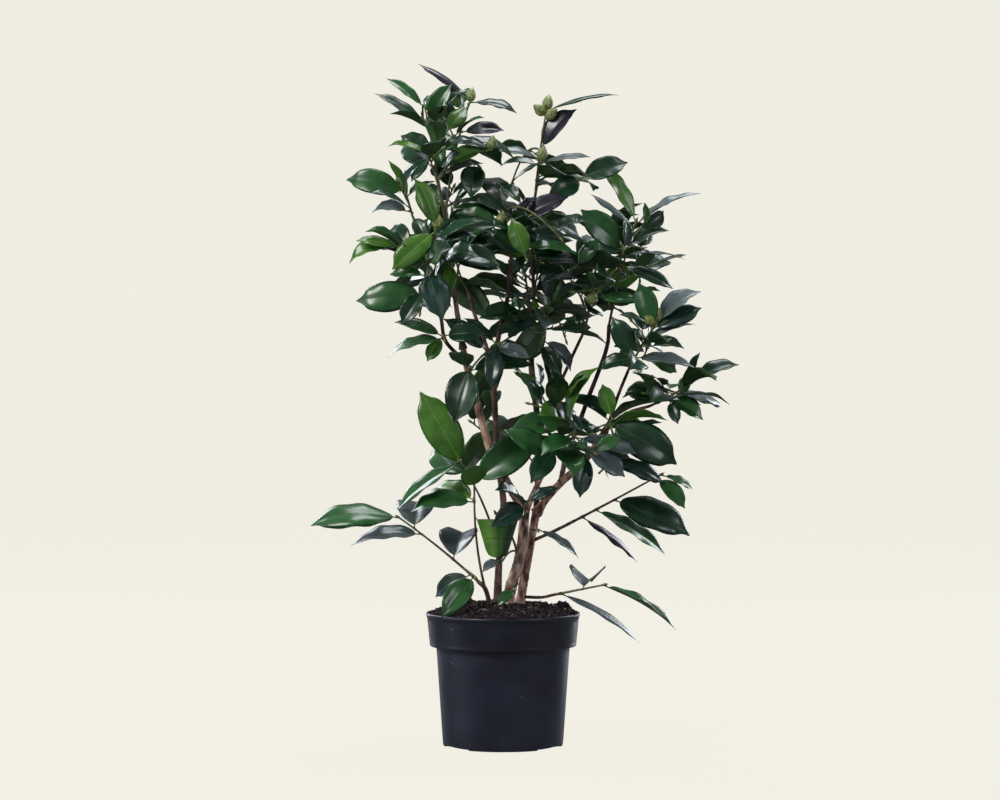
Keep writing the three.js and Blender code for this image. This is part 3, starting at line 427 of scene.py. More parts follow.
# Gaps that stay open from the front: (x, z, half-width, half-height).
SKY_GAPS = [
    (4, 850, 22, 30), (36, 872, 14, 20), (34, 772, 18, 26), (140, 740, 26, 22), (98, 736, 24, 15),
    (16, 462, 24, 26), (96, 535, 20, 24), (140, 520, 16, 34), (-52, 490, 16, 22), (112, 478, 20, 20),
    (-140, 790, 22, 22), (-60, 640, 8, 20), (60, 500, 12, 24), (16, 790, 24, 13), (32, 629, 18, 16),
    (92, 610, 20, 17), (-40, 421, 18, 27), (246, 552, 18, 22), (228, 682, 24, 14),
    (62, 830, 22, 24), (134, 812, 22, 12), (-91, 536, 16, 18), (-30, 522, 10, 14),
    (124, 450, 16, 12), (222, 712, 12, 14), (98, 814, 18, 15),
    (252, 648, 18, 18), (62, 738, 20, 18),
]

# ---- small helpers


def vec(values):
    return np.array(values, float)


def unit(v):
    return v / np.linalg.norm(v)


def smooth(x, low, high):
    share = np.clip((x - low) / (high - low), 0, 1)
    return share * share * (3 - 2 * share)


def random_from(seed):
    """A repeatable stream of numbers from 0 to 1 (mulberry32), as in the source."""
    mask = 0xFFFFFFFF
    state = [seed & mask]

    def draw():
        state[0] = (state[0] + 0x6D2B79F5) & mask
        mixed = ((state[0] ^ (state[0] >> 15)) * (1 | state[0])) & mask
        mixed = ((mixed + (((mixed ^ (mixed >> 7)) * (61 | mixed)) & mask)) & mask) ^ mixed
        return ((mixed ^ (mixed >> 14)) & mask) / 4294967296

    return draw


def heading(bearing, rise):
    """The unit vector along a compass bearing and a rise, in degrees."""
    turn, lift = math.radians(bearing), math.radians(rise)
    level = math.cos(lift)
    return vec((level * math.cos(turn), level * math.sin(turn), math.sin(lift)))


class Line:
    """A curve that is read at shares from 0 to 1 of its parameter."""

    def tangent(self, share):
        step = 1e-4
        low, high = max(share - step, 0), min(share + step, 1)
        return unit(self.point(high) - self.point(low))

    def length(self):
        points = np.array([self.point(i / 200) for i in range(201)])
        return np.linalg.norm(np.diff(points, axis=0), axis=1).sum()


class Spline(Line):
    """A smooth curve through points (Catmull-Rom, tension one half)."""

    def __init__(self, points):
        inner = [vec(p) for p in points]
        self.points = [2 * inner[0] - inner[1], *inner, 2 * inner[-1] - inner[-2]]

    def point(self, share):
        spans = len(self.points) - 3
        place = min(max(share, 0), 1) * spans
        span = min(int(place), spans - 1)
        f = place - span
        a, b, c, d = self.points[span:span + 4]
        v0, v1 = (c - a) / 2, (d - b) / 2
        return (2 * b - 2 * c + v0 + v1) * f**3 + (3 * c - 3 * b - 2 * v0 - v1) * f**2 + v0 * f + b


class Bend(Line):
    """A quadratic Bezier curve."""

    def __init__(self, start, control, end):
        self.start, self.control, self.end = start, control, end

    def point(self, share):
        rest = 1 - share
        return rest * rest * self.start + 2 * rest * share * self.control + share * share * self.end


def shoot_curve(start, direction, tip):
    """A shoot that leaves its parent along a direction and bends to its tip."""
    reach = tip - start
    bend = unit(direction + unit(reach))
    return Bend(start, start + bend * np.linalg.norm(reach) * SHOOT_BEND, tip)


class Shape:
    """Points and faces, in millimetres, that are joined into one mesh."""

    def __init__(self):
        self.points, self.faces, self.slots, self.count = [], [], [], 0

    def add(self, points, *faces, slot=0):
        for some in map(np.asarray, faces):
            self.faces.append(some + self.count)
            self.slots.append(np.broadcast_to(slot, len(some)))
        self.points.append(np.asarray(points, float))
        self.count += len(points)

    def make(self, name, materials, smooth_faces=True):
        mesh = bpy.data.meshes.new(name)
        points = np.concatenate(self.points) * MM
        corners = np.concatenate([faces.ravel() for faces in self.faces])
        sizes = np.concatenate([np.full(len(faces), faces.shape[1]) for faces in self.faces])
        mesh.vertices.add(len(points))
        mesh.vertices.foreach_set("co", points.ravel())
        mesh.loops.add(len(corners))
        mesh.loops.foreach_set("vertex_index", corners)
        mesh.polygons.add(len(sizes))
        mesh.polygons.foreach_set("loop_start", np.cumsum(sizes) - sizes)
        for stuff in materials:
            mesh.materials.append(stuff)
        mesh.polygons.foreach_set("material_index", np.concatenate(self.slots))
        mesh.update(calc_edges=True)
        mesh.validate()
        mesh.polygons.foreach_set("use_smooth", np.full(len(mesh.polygons), smooth_faces))
        piece = bpy.data.objects.new(name, mesh)
        bpy.context.scene.collection.objects.link(piece)
        return piece


def circle(sides):
    """The angles of points spread evenly round a circle."""
    return np.arange(sides) * 2 * math.pi / sides


def ring_faces(rings, sides):
    """Quads between rings of points that close on themselves."""
    ring, side = np.meshgrid(np.arange(rings - 1), np.arange(sides), indexing="ij")
    here = (ring * sides + side).ravel()
    there = (ring * sides + (side + 1) % sides).ravel()
    return np.stack([here, there, there + sides, here + sides], axis=1)


def fan(ring, middle, turned=False):
    """Triangles between a ring of points and the point in its middle."""
    sides = [np.roll(ring, -1), ring] if turned else [ring, np.roll(ring, -1)]
    return np.stack([*sides, np.full(len(ring), middle)], axis=1)


def outward(base, *parts):
    """Points reached from a base, each part being distances and the direction they go in."""
    points = base
    for distances, direction in parts:
        points = points + np.multiply.outer(distances, direction)
    return points


def add_sheet(shape, top, under, slots, under_slot, corner=0):
    """A thin sheet between two grids of points, which share the points of the top's edge.

    corner turns the order of the corners in each quad of the under side.
    """
    ids = np.arange(top[..., 0].size).reshape(top.shape[:2])
    inside = (slice(1, -1), slice(1, -1))
    below = ids.copy()
    below[inside] = ids.size + np.arange(ids[inside].size).reshape(ids[inside].shape)
    points = np.concatenate([top.reshape(-1, 3), under[inside].reshape(-1, 3)])
    over, back = [
        np.stack([some[:-1, :-1], some[:-1, 1:], some[1:, 1:], some[1:, :-1]], axis=2).reshape(-1, 4)
        for some in (ids, below)
    ]
    back = np.roll(back[:, ::-1], corner, axis=1)
    both = np.concatenate([np.ravel(slots), np.full(len(back), under_slot)])
    shape.add(points, np.concatenate([over, back]), slot=both)


def add_tube(shape, centres, radii, sides, slot=0, side=None):
    """A closed tube round a centre line.  radii holds one radius to a ring, or one to a point."""
    centres = np.asarray(centres, float)
    count = len(centres)
    tangents = np.gradient(centres, axis=0)
    tangents /= np.linalg.norm(tangents, axis=1)[:, None]
    if side is None:
        side = np.eye(3)[np.argmin(np.abs(tangents[0]))]
    angles = circle(sides)
    radii = np.broadcast_to(np.asarray(radii, float).reshape(count, -1), (count, sides))
    rings = np.empty((count, sides, 3))
    for i, tangent in enumerate(tangents):
        side = unit(side - tangent * (side @ tangent))
        front = np.cross(tangent, side)
        spokes = np.outer(np.cos(angles), side) + np.outer(np.sin(angles), front)
        rings[i] = centres[i] + spokes * radii[i][:, None]
    points = np.concatenate([rings.reshape(-1, 3), centres[:1], centres[-1:]])
    ids = np.arange(count * sides)
    foot = fan(ids[:sides], len(ids), turned=True)
    shape.add(points, ring_faces(count, sides), foot, fan(ids[-sides:], len(ids) + 1), slot=slot)


# ---- materials


def set_sockets(node, settings):
    for socket, value in settings.items():
        node.inputs[socket].default_value = value


def new_node(stuff, kind, settings, **joined):
    """A node of a material, with its own numbers, and sockets joined to those of other nodes."""
    node = stuff.node_tree.nodes.new("ShaderNode" + kind)
    set_sockets(node, settings)
    for socket, source in joined.items():
        stuff.node_tree.links.new(source, node.inputs[socket])
    return node


def shader_of(stuff):
    return stuff.node_tree.nodes["Principled BSDF"]


def to_shader(stuff, source, socket):
    stuff.node_tree.links.new(source, shader_of(stuff).inputs[socket])


def material(name, colour, roughness, specular=0.5, coat=0.0):
    """A plain shader, whose constant numbers stand on its own sockets."""
    stuff = bpy.data.materials.new(name)
    stuff.use_nodes = True
    set_sockets(shader_of(stuff), {
        "Base Color": (*colour, 1), "Roughness": roughness, "Specular IOR Level": specular,
        "Coat Weight": coat, "Coat Roughness": 0.16,
    })
    return stuff


def grain(stuff, scale, detail=3.0, stretch=(1, 1, 1)):
    """Noise in the object's own place, stretched along an axis if asked."""
    place = new_node(stuff, "TexCoord", {})
    mapping = new_node(stuff, "Mapping", {"Scale": stretch}, Vector=place.outputs["Object"])
    settings = {"Scale": scale, "Detail": detail}
    return new_node(stuff, "TexNoise", settings, Vector=mapping.outputs["Vector"]).outputs["Fac"]


def colour_by_noise(stuff, colours, scale, detail=3.0, stretch=(1, 1, 1), low=0.35, high=0.65):
    """Spreads the base colour over several tints by noise."""
    ramp = new_node(stuff, "ValToRGB", {}, Fac=grain(stuff, scale, detail, stretch))
    while len(ramp.color_ramp.elements) < len(colours):
        ramp.color_ramp.elements.new(0.5)
    for i, (mark, colour) in enumerate(zip(ramp.color_ramp.elements, colours)):
        mark.position = low + (high - low) * i / (len(colours) - 1)
        mark.color = (*colour, 1)
    to_shader(stuff, ramp.outputs["Color"], "Base Color")


def range_of_noise(stuff, scale, detail, low, high, to_low=0.0, to_high=1.0):
    """Noise from low to high, carried to the range from to_low to to_high."""
    settings = {"From Min": low, "From Max": high, "To Min": to_low, "To Max": to_high}
    return new_node(stuff, "MapRange", settings, Value=grain(stuff, scale, detail)).outputs["Result"]


def bump(stuff, scale, strength, distance, stretch=(1, 1, 1), detail=4.0):
    """A fine relief, distance metres deep."""
    settings = {"Strength": strength, "Distance": distance}
    relief = new_node(stuff, "Bump", settings, Height=grain(stuff, scale, detail, stretch))
    to_shader(stuff, relief.outputs["Normal"], "Normal")


def tinted(name, roughness, tints, spread, relief, **gloss):
    """A material of several tints with a fine relief.

    spread holds what colour_by_noise takes after the tints, and relief what bump takes.
    """
    stuff = material(name, tints[1], roughness, **gloss)
    colour_by_noise(stuff, tints, *spread)
    bump(stuff, *relief)
    return stuff


# Upper sides of leaves: two tones of each tint, which noise spreads over the leaf.
LEAF_TINTS = {
    "dark": ((0.006, 0.029, 0.013), (0.013, 0.054, 0.021)),
    # blue: dark green with a painted bluish sheen laid into its colour.
    "blue": ((0.007, 0.024, 0.018), (0.014, 0.046, 0.032)),
    "mid": ((0.014, 0.07, 0.016), (0.03, 0.12, 0.028)),
    # young: the bright green of young leaves, with painted light for leaves lit through from behind.
    "young": ((0.045, 0.135, 0.014), (0.085, 0.21, 0.026)),
    # grey: a painted sheen, the pale grey-blue gloss of a green leaf laid into its colour.
    "grey": ((0.06, 0.088, 0.09), (0.11, 0.145, 0.148)),
    "purple": ((0.013, 0.012, 0.024), (0.026, 0.024, 0.044)),
    # The cup tints are painted light and shade across the curled leaf: its lit side, two steps between, and
    # its shaded side.
    "cup_painted_lit": ((0.05, 0.14, 0.012), (0.08, 0.2, 0.02)),
    "cup_painted_half_lit": ((0.035, 0.105, 0.01), (0.058, 0.15, 0.017)),
    "cup_painted_dim": ((0.02, 0.07, 0.008), (0.034, 0.1, 0.014)),
    "cup_painted_shade": ((0.009, 0.036, 0.006), (0.018, 0.058, 0.011)),
}
LEAF_TINT_NAMES = list(LEAF_TINTS)
UNDERSIDE = len(LEAF_TINTS)
UNDERSIDE_YOUNG = UNDERSIDE + 1
RIB = UNDERSIDE + 2
RIB_YOUNG = UNDERSIDE + 3


def leaf_materials():
    found = []
    for name, tints in LEAF_TINTS.items():
        dull = name.startswith("cup")
        gloss = {"specular": 0.25} if dull else {"coat": 0.18}
        relief = (60, 0.08, 0.0005, (1, 1, 1), 1.0)
        found.append(tinted("leaf_" + name, 0.52 if dull else 0.28, tints, (55,), relief, **gloss))
    for name, *tints in [
        ("underside", (0.032, 0.085, 0.022), (0.056, 0.125, 0.034)),
        ("underside_young", (0.07, 0.2, 0.022), (0.105, 0.27, 0.04)),
    ]:
        found.append(tinted("leaf_" + name, 0.5, tints, (70,), (700, 0.3, 0.0003), specular=0.4))
    for name, *tints in [
        ("rib", (0.02, 0.055, 0.016), (0.045, 0.095, 0.028)),
        ("rib_young", (0.11, 0.24, 0.035), (0.18, 0.33, 0.06)),
    ]:
        found.append(tinted("leaf_" + name, 0.4, tints, (90,), (500, 0.2, 0.0003)))
    return found


def twig_materials():
    brown = [(0.05, 0.026, 0.022), (0.12, 0.07, 0.05), (0.17, 0.11, 0.075)]
    green = [(0.075, 0.1, 0.035), (0.13, 0.17, 0.05), (0.17, 0.11, 0.055)]
    stretch = (1, 1, 0.35)
    return [
        tinted("twig_brown", 0.65, brown, (160,), (900, 0.6, 0.0006, stretch), specular=0.3),
        tinted("twig_green", 0.5, green, (120,), (900, 0.4, 0.0004, stretch), specular=0.4),
    ]


def bud_materials():
    scale = [(0.09, 0.12, 0.03), (0.175, 0.22, 0.062), (0.275, 0.3, 0.1)]
    edge = [(0.13, 0.1, 0.04), (0.3, 0.27, 0.11)]
    relief = (700, 0.4, 0.0004)
    return [
        tinted("bud_scale", 0.42, scale, (150,), relief),
        tinted("bud_edge", 0.6, edge, (300,), relief),
    ]


POT_COLOURS = [(0.0085, 0.0092, 0.02), (0.012, 0.0128, 0.028), (0.0165, 0.018, 0.037)]
POT_SPECK = (0.2, 0.2, 0.22)

# Bark of the trunks, of the pinkish boughs and of the dark young ones.
BARK_TINTS = {
    "grey": [(0.06, 0.029, 0.031), (0.37, 0.232, 0.182), (0.72, 0.53, 0.42)],
    "pink": [(0.12, 0.055, 0.048), (0.54, 0.32, 0.235), (0.84, 0.59, 0.46)],
    "dark": [(0.032, 0.018, 0.02), (0.105, 0.058, 0.052), (0.25, 0.15, 0.12)],
}
BARK_NAMES = list(BARK_TINTS)


def bark_materials():
    return [
        tinted(
            "bark_" + name, 0.75, tints, (120, 8, (1, 1, 0.42), 0.36, 0.66),
            (420, 1.0, 0.0016, (1, 1, 0.5)), specular=0.3,
        )
        for name, tints in BARK_TINTS.items()
    ]


def speckle(stuff, colour, scale, low, high):
    """Lays specks over the base colour, where fine noise rises above a level."""
    base = shader_of(stuff).inputs["Base Color"]
    mix = stuff.node_tree.nodes.new("ShaderNodeMix")
    mix.data_type = "RGBA"
    mix.inputs["B"].default_value = (*colour, 1)
    links = stuff.node_tree.links
    links.new(range_of_noise(stuff, scale, 1.0, low, high), mix.inputs["Factor"])
    links.new(base.links[0].from_socket, mix.inputs["A"])
    links.new(mix.outputs["Result"], base)


def pot_materials():
    """The pot's plastic, the same plastic darkened on its band as painted shade, and pale scuffs."""
    found = []
    # The band's material is the body's plastic darkened to 0.6, a painted shade.
    for name, painted_shade in [("body", 1.0), ("band", 0.6)]:
        tints = [np.multiply(painted_shade, colour) for colour in POT_COLOURS]
        stuff = tinted("pot_" + name, 0.36, tints, (20,), (900, 0.25, 0.0004))
        speckle(stuff, POT_SPECK, 150, 0.8, 0.83)
        to_shader(stuff, range_of_noise(stuff, 30, 3.0, 0.3, 0.7, 0.32, 0.42), "Roughness")
        found.append(stuff)
    scuff = tinted("pot_scuff", 0.7, [POT_COLOURS[2], POT_SPECK], (900,), (900, 0.4, 0.0004))
    return [*found, scuff]


def soil_material():
    tints = [(0.004, 0.0032, 0.0055), (0.015, 0.0105, 0.0155), (0.052, 0.034, 0.039)]
    return tinted("soil_earth", 1.0, tints, (190, 6), (520, 1.0, 0.002), specular=0.2)


def crumb_materials():
    return [
        tinted("crumb_" + name, 0.95, tints, (300,), (900, 0.8, 0.001), specular=0.2)
        for name, *tints in [
            ("dark", (0.005, 0.004, 0.0065), (0.018, 0.0125, 0.0175)),
            ("brown", (0.029, 0.0175, 0.018), (0.078, 0.048, 0.042)),
            ("pale", (0.16, 0.11, 0.08), (0.3, 0.23, 0.17)),
        ]
    ]


# ---- the pot

# Pale scuffs on the pot's body: where each starts and ends, as (bearing, height).
SCUFFS = [
    ((208, 126), (214, 121)), ((213, 122), (221, 117)), ((216, 121), (224, 118)), ((221, 118), (230, 114)),
    ((205, 121), (209, 118)), ((262, 62), (263, 58)), ((281, 48), (281, 45)), ((287, 92), (288, 89)),
]
SCUFF_RADIUS = 0.22
SCUFF_STEPS = 12


def add_scuffs(shape):
    """Thin raised lines on the pot's body, where something has scraped it."""
    rise = (POT_BODY_TOP_RADIUS - POT_FOOT_RADIUS) / (POT_HEIGHT - POT_BAND_HEIGHT)
    for number, ends in enumerate(SCUFFS):
        line = []
        for bearing, height in np.linspace(*ends, SCUFF_STEPS):
            height += 0.4 * math.sin(bearing * 2.3 + number)
            out = POT_FOOT_RADIUS + 0.55 + rise * height
            line.append(out * heading(bearing, 0) + (0, 0, height))
        add_tube(shape, line, np.full(SCUFF_STEPS, SCUFF_RADIUS), 6, slot=2)


def pot_profile():
    """The outside, the lip and the inside of the pot, as (radius, height)."""
    band_foot = POT_HEIGHT - POT_BAND_HEIGHT
    body = POT_BODY_TOP_RADIUS
    band = POT_BAND_FOOT_RADIUS
    rim = POT_RIM_RADIUS
    foot = POT_FOOT_RADIUS
    outside = [
        (8, 1.2), (20, 1.2), (40, 1.2), (56, 1.2), (60, 0.8), (62, 0), (68, 0), (NOTCH_INNER_RADIUS, 0),
        (NOTCH_INNER_RADIUS + 0.4, 0), (76, 0), (foot - 1.6, 0), (foot - 0.5, 0.4), (foot, 1.4),
        (foot + 0.1, NOTCH_HEIGHT + 0.4), (foot + 0.3, 5), (foot + 0.7, 9),
    ]
    wall_steps = 24
    for i in range(1, wall_steps):
        share = i / wall_steps
        outside.append((foot + 0.7 + (body - foot - 1.2) * share, 9 + (band_foot - 13) * share))
    outside += [
        (body - 0.4, band_foot - 4), (body + 0.1, band_foot - 2), (body + 1.4, band_foot - 0.9),
        (body + 3.2, band_foot - 0.5), (band - 1.6, band_foot - 0.5), (band - 0.5, band_foot - 0.1),
        (band + 0.1, band_foot + 0.9), (band + 0.3, band_foot + 2.2), (band + 0.2, band_foot + 3.4),
    ]
    band_steps = 12
    for i in range(1, band_steps):
        share = i / band_steps
        outside.append((band + 0.2 + (rim - band - 1.5) * share, band_foot + 3.4 + 34.6 * share))
    lip = [
        (rim - 1.1, POT_HEIGHT - 6), (rim - 0.5, POT_HEIGHT - 5.2), (rim, POT_HEIGHT - 4),
        (rim + 0.1, POT_HEIGHT - 2.2), (rim - 0.1, POT_HEIGHT - 0.9), (rim - 0.8, POT_HEIGHT - 0.2),
        (rim - 1.7, POT_HEIGHT), (rim - 2.5, POT_HEIGHT - 0.3), (rim - 2.9, POT_HEIGHT - 1.1),
        (rim - 3, POT_HEIGHT - 2.4), (rim - 3.1, POT_HEIGHT - 5),
    ]
    inside = [
        (rim - 3.6, POT_HEIGHT - 12), (band - POT_WALL, band_foot + POT_WALL),
        (body - POT_WALL, band_foot + POT_WALL), (foot - POT_WALL, POT_FLOOR),
        (40, POT_FLOOR), (8, POT_FLOOR),
    ]
    return outside, lip, inside


def make_pot():
    """The pot's shell, turned round its axis, with drainage notches under its edge."""
    outside, lip, inside = pot_profile()
    profile = vec(outside + lip + inside)
    count = len(profile)
    angles = circle(POT_SEGMENTS)
    radius, height = profile[:, 0][:, None], profile[:, 1][:, None]
    wobble = 0.12 * np.sin(3 * angles + 0.7) + 0.08 * np.sin(7 * angles + 2.1)
    reach = radius + wobble * smooth(radius, 60, 90)
    x, y = reach * np.cos(angles), reach * np.sin(angles)
    z = np.broadcast_to(height, x.shape).copy()
    for bearing in NOTCH_BEARINGS:
        turn = math.radians(bearing)
        forward = x * math.cos(turn) + y * math.sin(turn)
        aside = np.abs(y * math.cos(turn) - x * math.sin(turn))
        cut = (forward > NOTCH_INNER_RADIUS + 0.2) & (aside < NOTCH_WIDTH / 2) & (z < NOTCH_HEIGHT)
        outer = np.arange(count)[:, None] < len(outside)
        z[cut & outer] = NOTCH_HEIGHT
    points = np.stack([x, y, z], axis=2).reshape(-1, 3)
    centres = vec([(0, 0, 1.2), (0, 0, POT_FLOOR)])
    ids = np.arange(len(points))
    under = fan(ids[:POT_SEGMENTS], len(points), turned=True)
    floor = fan(ids[-POT_SEGMENTS:], len(points) + 1)
    shape = Shape()
    shape.add(np.concatenate([points, centres]), ring_faces(count, POT_SEGMENTS), under, floor)
    band_foot = POT_HEIGHT - POT_BAND_HEIGHT
    # Faces of the band and lip take the second material, the plastic darkened with painted shade.
    on_band = (profile[:-1, 1] > band_foot - 1) & (np.arange(count - 1) < len(outside) + len(lip))
    shape.slots[0] = np.repeat(on_band.astype(int), POT_SEGMENTS)
    add_scuffs(shape)
    pot = shape.make("pot_shell", pot_materials())
    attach(pot, "root")
    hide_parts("pot")


# ---- the soil


def soil_height(x, y):
    """Height of the soil's surface, as in the source, level where the stems stand."""
    wall = POT_RIM_RADIUS - POT_WALL
    out = np.minimum(np.hypot(x, y) / wall, 1)
    dome = np.maximum(np.cos(out * math.pi / 2), 0) ** 0.5
    at_wall = POT_HEIGHT - SOIL_RIM_DROP
    height = at_wall + (SOIL_STEM_HEIGHT - at_wall) * dome
    for lump_x, lump_y, lump_height, spread in SOIL_LUMPS:
        height = height + lump_height * np.exp(-((np.hypot(x - lump_x, y - lump_y) / spread) ** 2))
    from_stems = np.hypot(x - SOIL_LEVEL_CENTRE[0], y - SOIL_LEVEL_CENTRE[1])
    free = smooth(from_stems, SOIL_LEVEL_RADIUS, SOIL_LEVEL_RADIUS + SOIL_LEVEL_FADE)
    return SOIL_STEM_HEIGHT + (height - SOIL_STEM_HEIGHT) * free


def rough_soil_height(x, y):
    """The same surface with clods and crumbs."""
    height = float(soil_height(x, y))
    for grain_size, layer, rise in SOIL_RELIEF:
        height += noise.noise(Vector((x / grain_size, y / grain_size, layer))) * rise
    return height - SOIL_SINK


def make_soil():
    surface, under = POT_RIM_RADIUS - 3.4, POT_BAND_FOOT_RADIUS - 4
    points = []
    for ring in range(1, SOIL_RINGS + 1):
        for angle in circle(SOIL_SIDES):
            x = surface * ring / SOIL_RINGS * math.cos(angle)
            y = surface * ring / SOIL_RINGS * math.sin(angle)
            points.append((x, y, rough_soil_height(x, y)))
    for angle in circle(SOIL_SIDES):
        points.append((under * math.cos(angle), under * math.sin(angle), SOIL_BOTTOM))
    ids = np.arange(len(points))
    middle = fan(ids[:SOIL_SIDES], len(points))
    base = fan(ids[-SOIL_SIDES:], len(points) + 1, turned=True)
    points += [(0, 0, rough_soil_height(0, 0)), (0, 0, SOIL_BOTTOM)]
    shape = Shape()
    shape.add(points, ring_faces(SOIL_RINGS + 1, SOIL_SIDES)[:, ::-1], middle, base)
    soil = shape.make("soil_surface", [soil_material()])
    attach(soil, "root")
    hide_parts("soil")


def scatter(random, reach):
    """A place somewhere on a round floor."""
    radius = reach * random() ** 0.5
    angle = random() * 2 * math.pi
    return radius * math.cos(angle), radius * math.sin(angle)


def make_crumbs():
    """Loose clods, chips of bark and pale fibres that lie on the soil."""
    random = random_from(CRUMB_SEED)
    golden = (1 + 5**0.5) / 2
    corners = vec([
        (-1, golden, 0), (1, golden, 0), (-1, -golden, 0), (1, -golden, 0),
        (0, -1, golden), (0, 1, golden), (0, -1, -golden), (0, 1, -golden),
        (golden, 0, -1), (golden, 0, 1), (-golden, 0, -1), (-golden, 0, 1),
    ]) / golden
    faces = [
        (0, 11, 5), (0, 5, 1), (0, 1, 7), (0, 7, 10), (0, 10, 11), (1, 5, 9), (5, 11, 4),
        (11, 10, 2), (10, 7, 6), (7, 1, 8), (3, 9, 4), (3, 4, 2), (3, 2, 6), (3, 6, 8),
        (3, 8, 9), (4, 9, 5), (2, 4, 11), (6, 2, 10), (8, 6, 7), (9, 8, 1),
    ]
    shape = Shape()
    for _ in range(CRUMBS):
        x, y = scatter(random, POT_RIM_RADIUS - 6)
        size = 0.7 + 2.3 * random() ** 3
        stretch = vec(CHIP_STRETCH if random() < CHIP_SHARE else CRUMB_STRETCH)
        jitter = 1 + 0.35 * (vec([random() for _ in range(12)]) - 0.5)
        points = corners * jitter[:, None] * stretch * size
        turn, tip = random() * 2 * math.pi, (random() - 0.5) * 1.2
        c, s = math.cos(turn), math.sin(turn)
        flat = np.array([[c, -s, 0], [s, c, 0], [0, 0, 1]])
        c, s = math.cos(tip), math.sin(tip)
        lean = np.array([[c, 0, s], [0, 1, 0], [-s, 0, c]])
        points = points @ lean.T @ flat.T
        height = rough_soil_height(x, y) + size * 0.2
        tone = random()
        slot = (tone >= DARK_SHARE) + (tone >= PALE_FROM)
        shape.add(points + (x, y, height), faces, slot=slot)
    for _ in range(FIBRES):
        x, y = scatter(random, POT_RIM_RADIUS - 12)
        turn, bend = random() * 2 * math.pi, (random() - 0.5) * 2.4
        length = 6 + 12 * random()
        line = []
        for i in range(FIBRE_STEPS + 1):
            way = turn + bend * i / FIBRE_STEPS
            x += math.cos(way) * length / FIBRE_STEPS
            y += math.sin(way) * length / FIBRE_STEPS
            inside = min(1, (POT_RIM_RADIUS - 6) / max(math.hypot(x, y), 1))
            x, y = x * inside, y * inside
            arch = math.sin(math.pi * i / FIBRE_STEPS) * FIBRE_ARCH
            line.append((x, y, rough_soil_height(x, y) + FIBRE_LIFT + arch))
        add_tube(shape, line, np.full(len(line), 0.28 + 0.3 * random()), 5, slot=2)
    crumbs = shape.make("soil_crumbs", crumb_materials(), smooth_faces=False)
    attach(crumbs, "root")


# ---- the limbs

BARK_OF_LIMB = {
    "trunk_main": "grey", "trunk_right": "pink", "trunk_left": "dark", "sucker_left": "dark",
    "bough_left": "pink", "bough_right": "pink", "bough_centre": "pink",
}
BARK_STEP = 1.5
BARK_SIDES = 26
COLLAR = 0.55
SCAR_STEP, SCAR_HEIGHT, SCAR_WIDTH = 27, 0.07, 1.1
# Relief of the bark: (fineness round the limb, length along it, shift of the noise, height).
BARK_RELIEF = [(1, 26, 9.7, 0.1), (2.4, 9, 3.1, 0.1), (4, 2.6, 1, 0.05)]
LOBES = 0.16
KNOT_HEIGHT, KNOT_REACH, KNOT_TURN = 0.55, 1.7, 42
# Knots on a limb: (share along it, bearing, size).
KNOTS = {
    "trunk_main": [(0.3, 250, 2.2), (0.62, 20, 1.8), (0.86, 200, 2.4)],
    "trunk_right": [(0.35, 290, 1.8), (0.7, 120, 1.6)],
    "trunk_left": [(0.28, 240, 1.4), (0.55, 80, 1.4), (0.8, 200, 1.2)],
    "bough_left": [(0.3, 230, 1.8), (0.52, 60, 1.5), (0.74, 250, 1.6)],
    "bough_right": [(0.45, 250, 1.6), (0.9, 270, 3.2)],
    "bough_outer": [(0.4, 250, 1.1), (0.75, 90, 1.0)],
    "bough_upright": [(0.3, 260, 1.2), (0.6, 90, 1.1)],
}


def limb_curve(plan, curves):
    line = [vec(point) for point in plan["line"]]
    if plan["on"]:
        line.insert(0, curves[plan["on"]].point(plan["at"]))
    return Spline(line)


def limb_radius(plan, share):
    foot, tip = plan["radii"]
    flare = max(0, 1 - share / FLARE_SHARE) ** 2 * plan["flare"]
    return foot + (tip - foot) * share + flare


def add_bark(shape, name, curve, plan, seed):
    """A limb's skin: its taper, a collar at its foot, fissures, leaf scars and knots."""
    length = curve.length()
    rings = int(length / BARK_STEP)
    shares = np.arange(rings + 1) / rings
    centres = np.array([curve.point(share) for share in shares])
    angles = circle(BARK_SIDES)
    radii = np.empty((rings + 1, BARK_SIDES))
    for i, share in enumerate(shares):
        along = share * length
        radius = limb_radius(plan, share)
        if plan["on"]:
            radius *= 1 + COLLAR * math.exp(-((along / (1.5 * plan["radii"][0])) ** 2))
        scar = math.exp(-(((along % SCAR_STEP) - SCAR_STEP // 2) / SCAR_WIDTH) ** 2) * SCAR_HEIGHT
        for j, angle in enumerate(angles):
            around = (math.cos(angle) * 2.1, math.sin(angle) * 2.1)
            relief = 0.0
            for finer, run, shift, rise in BARK_RELIEF:
                place = (around[0] * finer, around[1] * finer, along / run + seed * shift)
                relief += rise * noise.noise(Vector(place))
            lobes = 0.0 if plan["on"] else LOBES * math.cos(3 * angle + seed) * max(0, 1 - share / 0.2)
            relief = relief + scar + lobes
            for at, bearing, size in KNOTS.get(name, []):
                near = (along - at * length) / (KNOT_REACH * size)
                aside = (math.degrees(angle) - bearing + 180) % 360 - 180
                relief += size / radius * KNOT_HEIGHT * math.exp(-(near**2) - (aside / KNOT_TURN) ** 2)
            radii[i, j] = radius * (1 + relief)
    add_tube(shape, centres, radii, BARK_SIDES, slot=BARK_NAMES.index(BARK_OF_LIMB.get(name, "dark")))


def make_bark(curves):
    materials = bark_materials()
    for piece_name, trunks in [("bark_trunks", True), ("bark_boughs", False)]:
        names = [name for name, plan in LIMBS.items() if (plan["on"] is None) == trunks]
        shape = Shape()
        for name in names:
            add_bark(shape, name, curves[name], LIMBS[name], list(LIMBS).index(name))
        bark = shape.make(piece_name, materials)
        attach(bark, "root")
        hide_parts(*names)


# ---- where the leaves stand


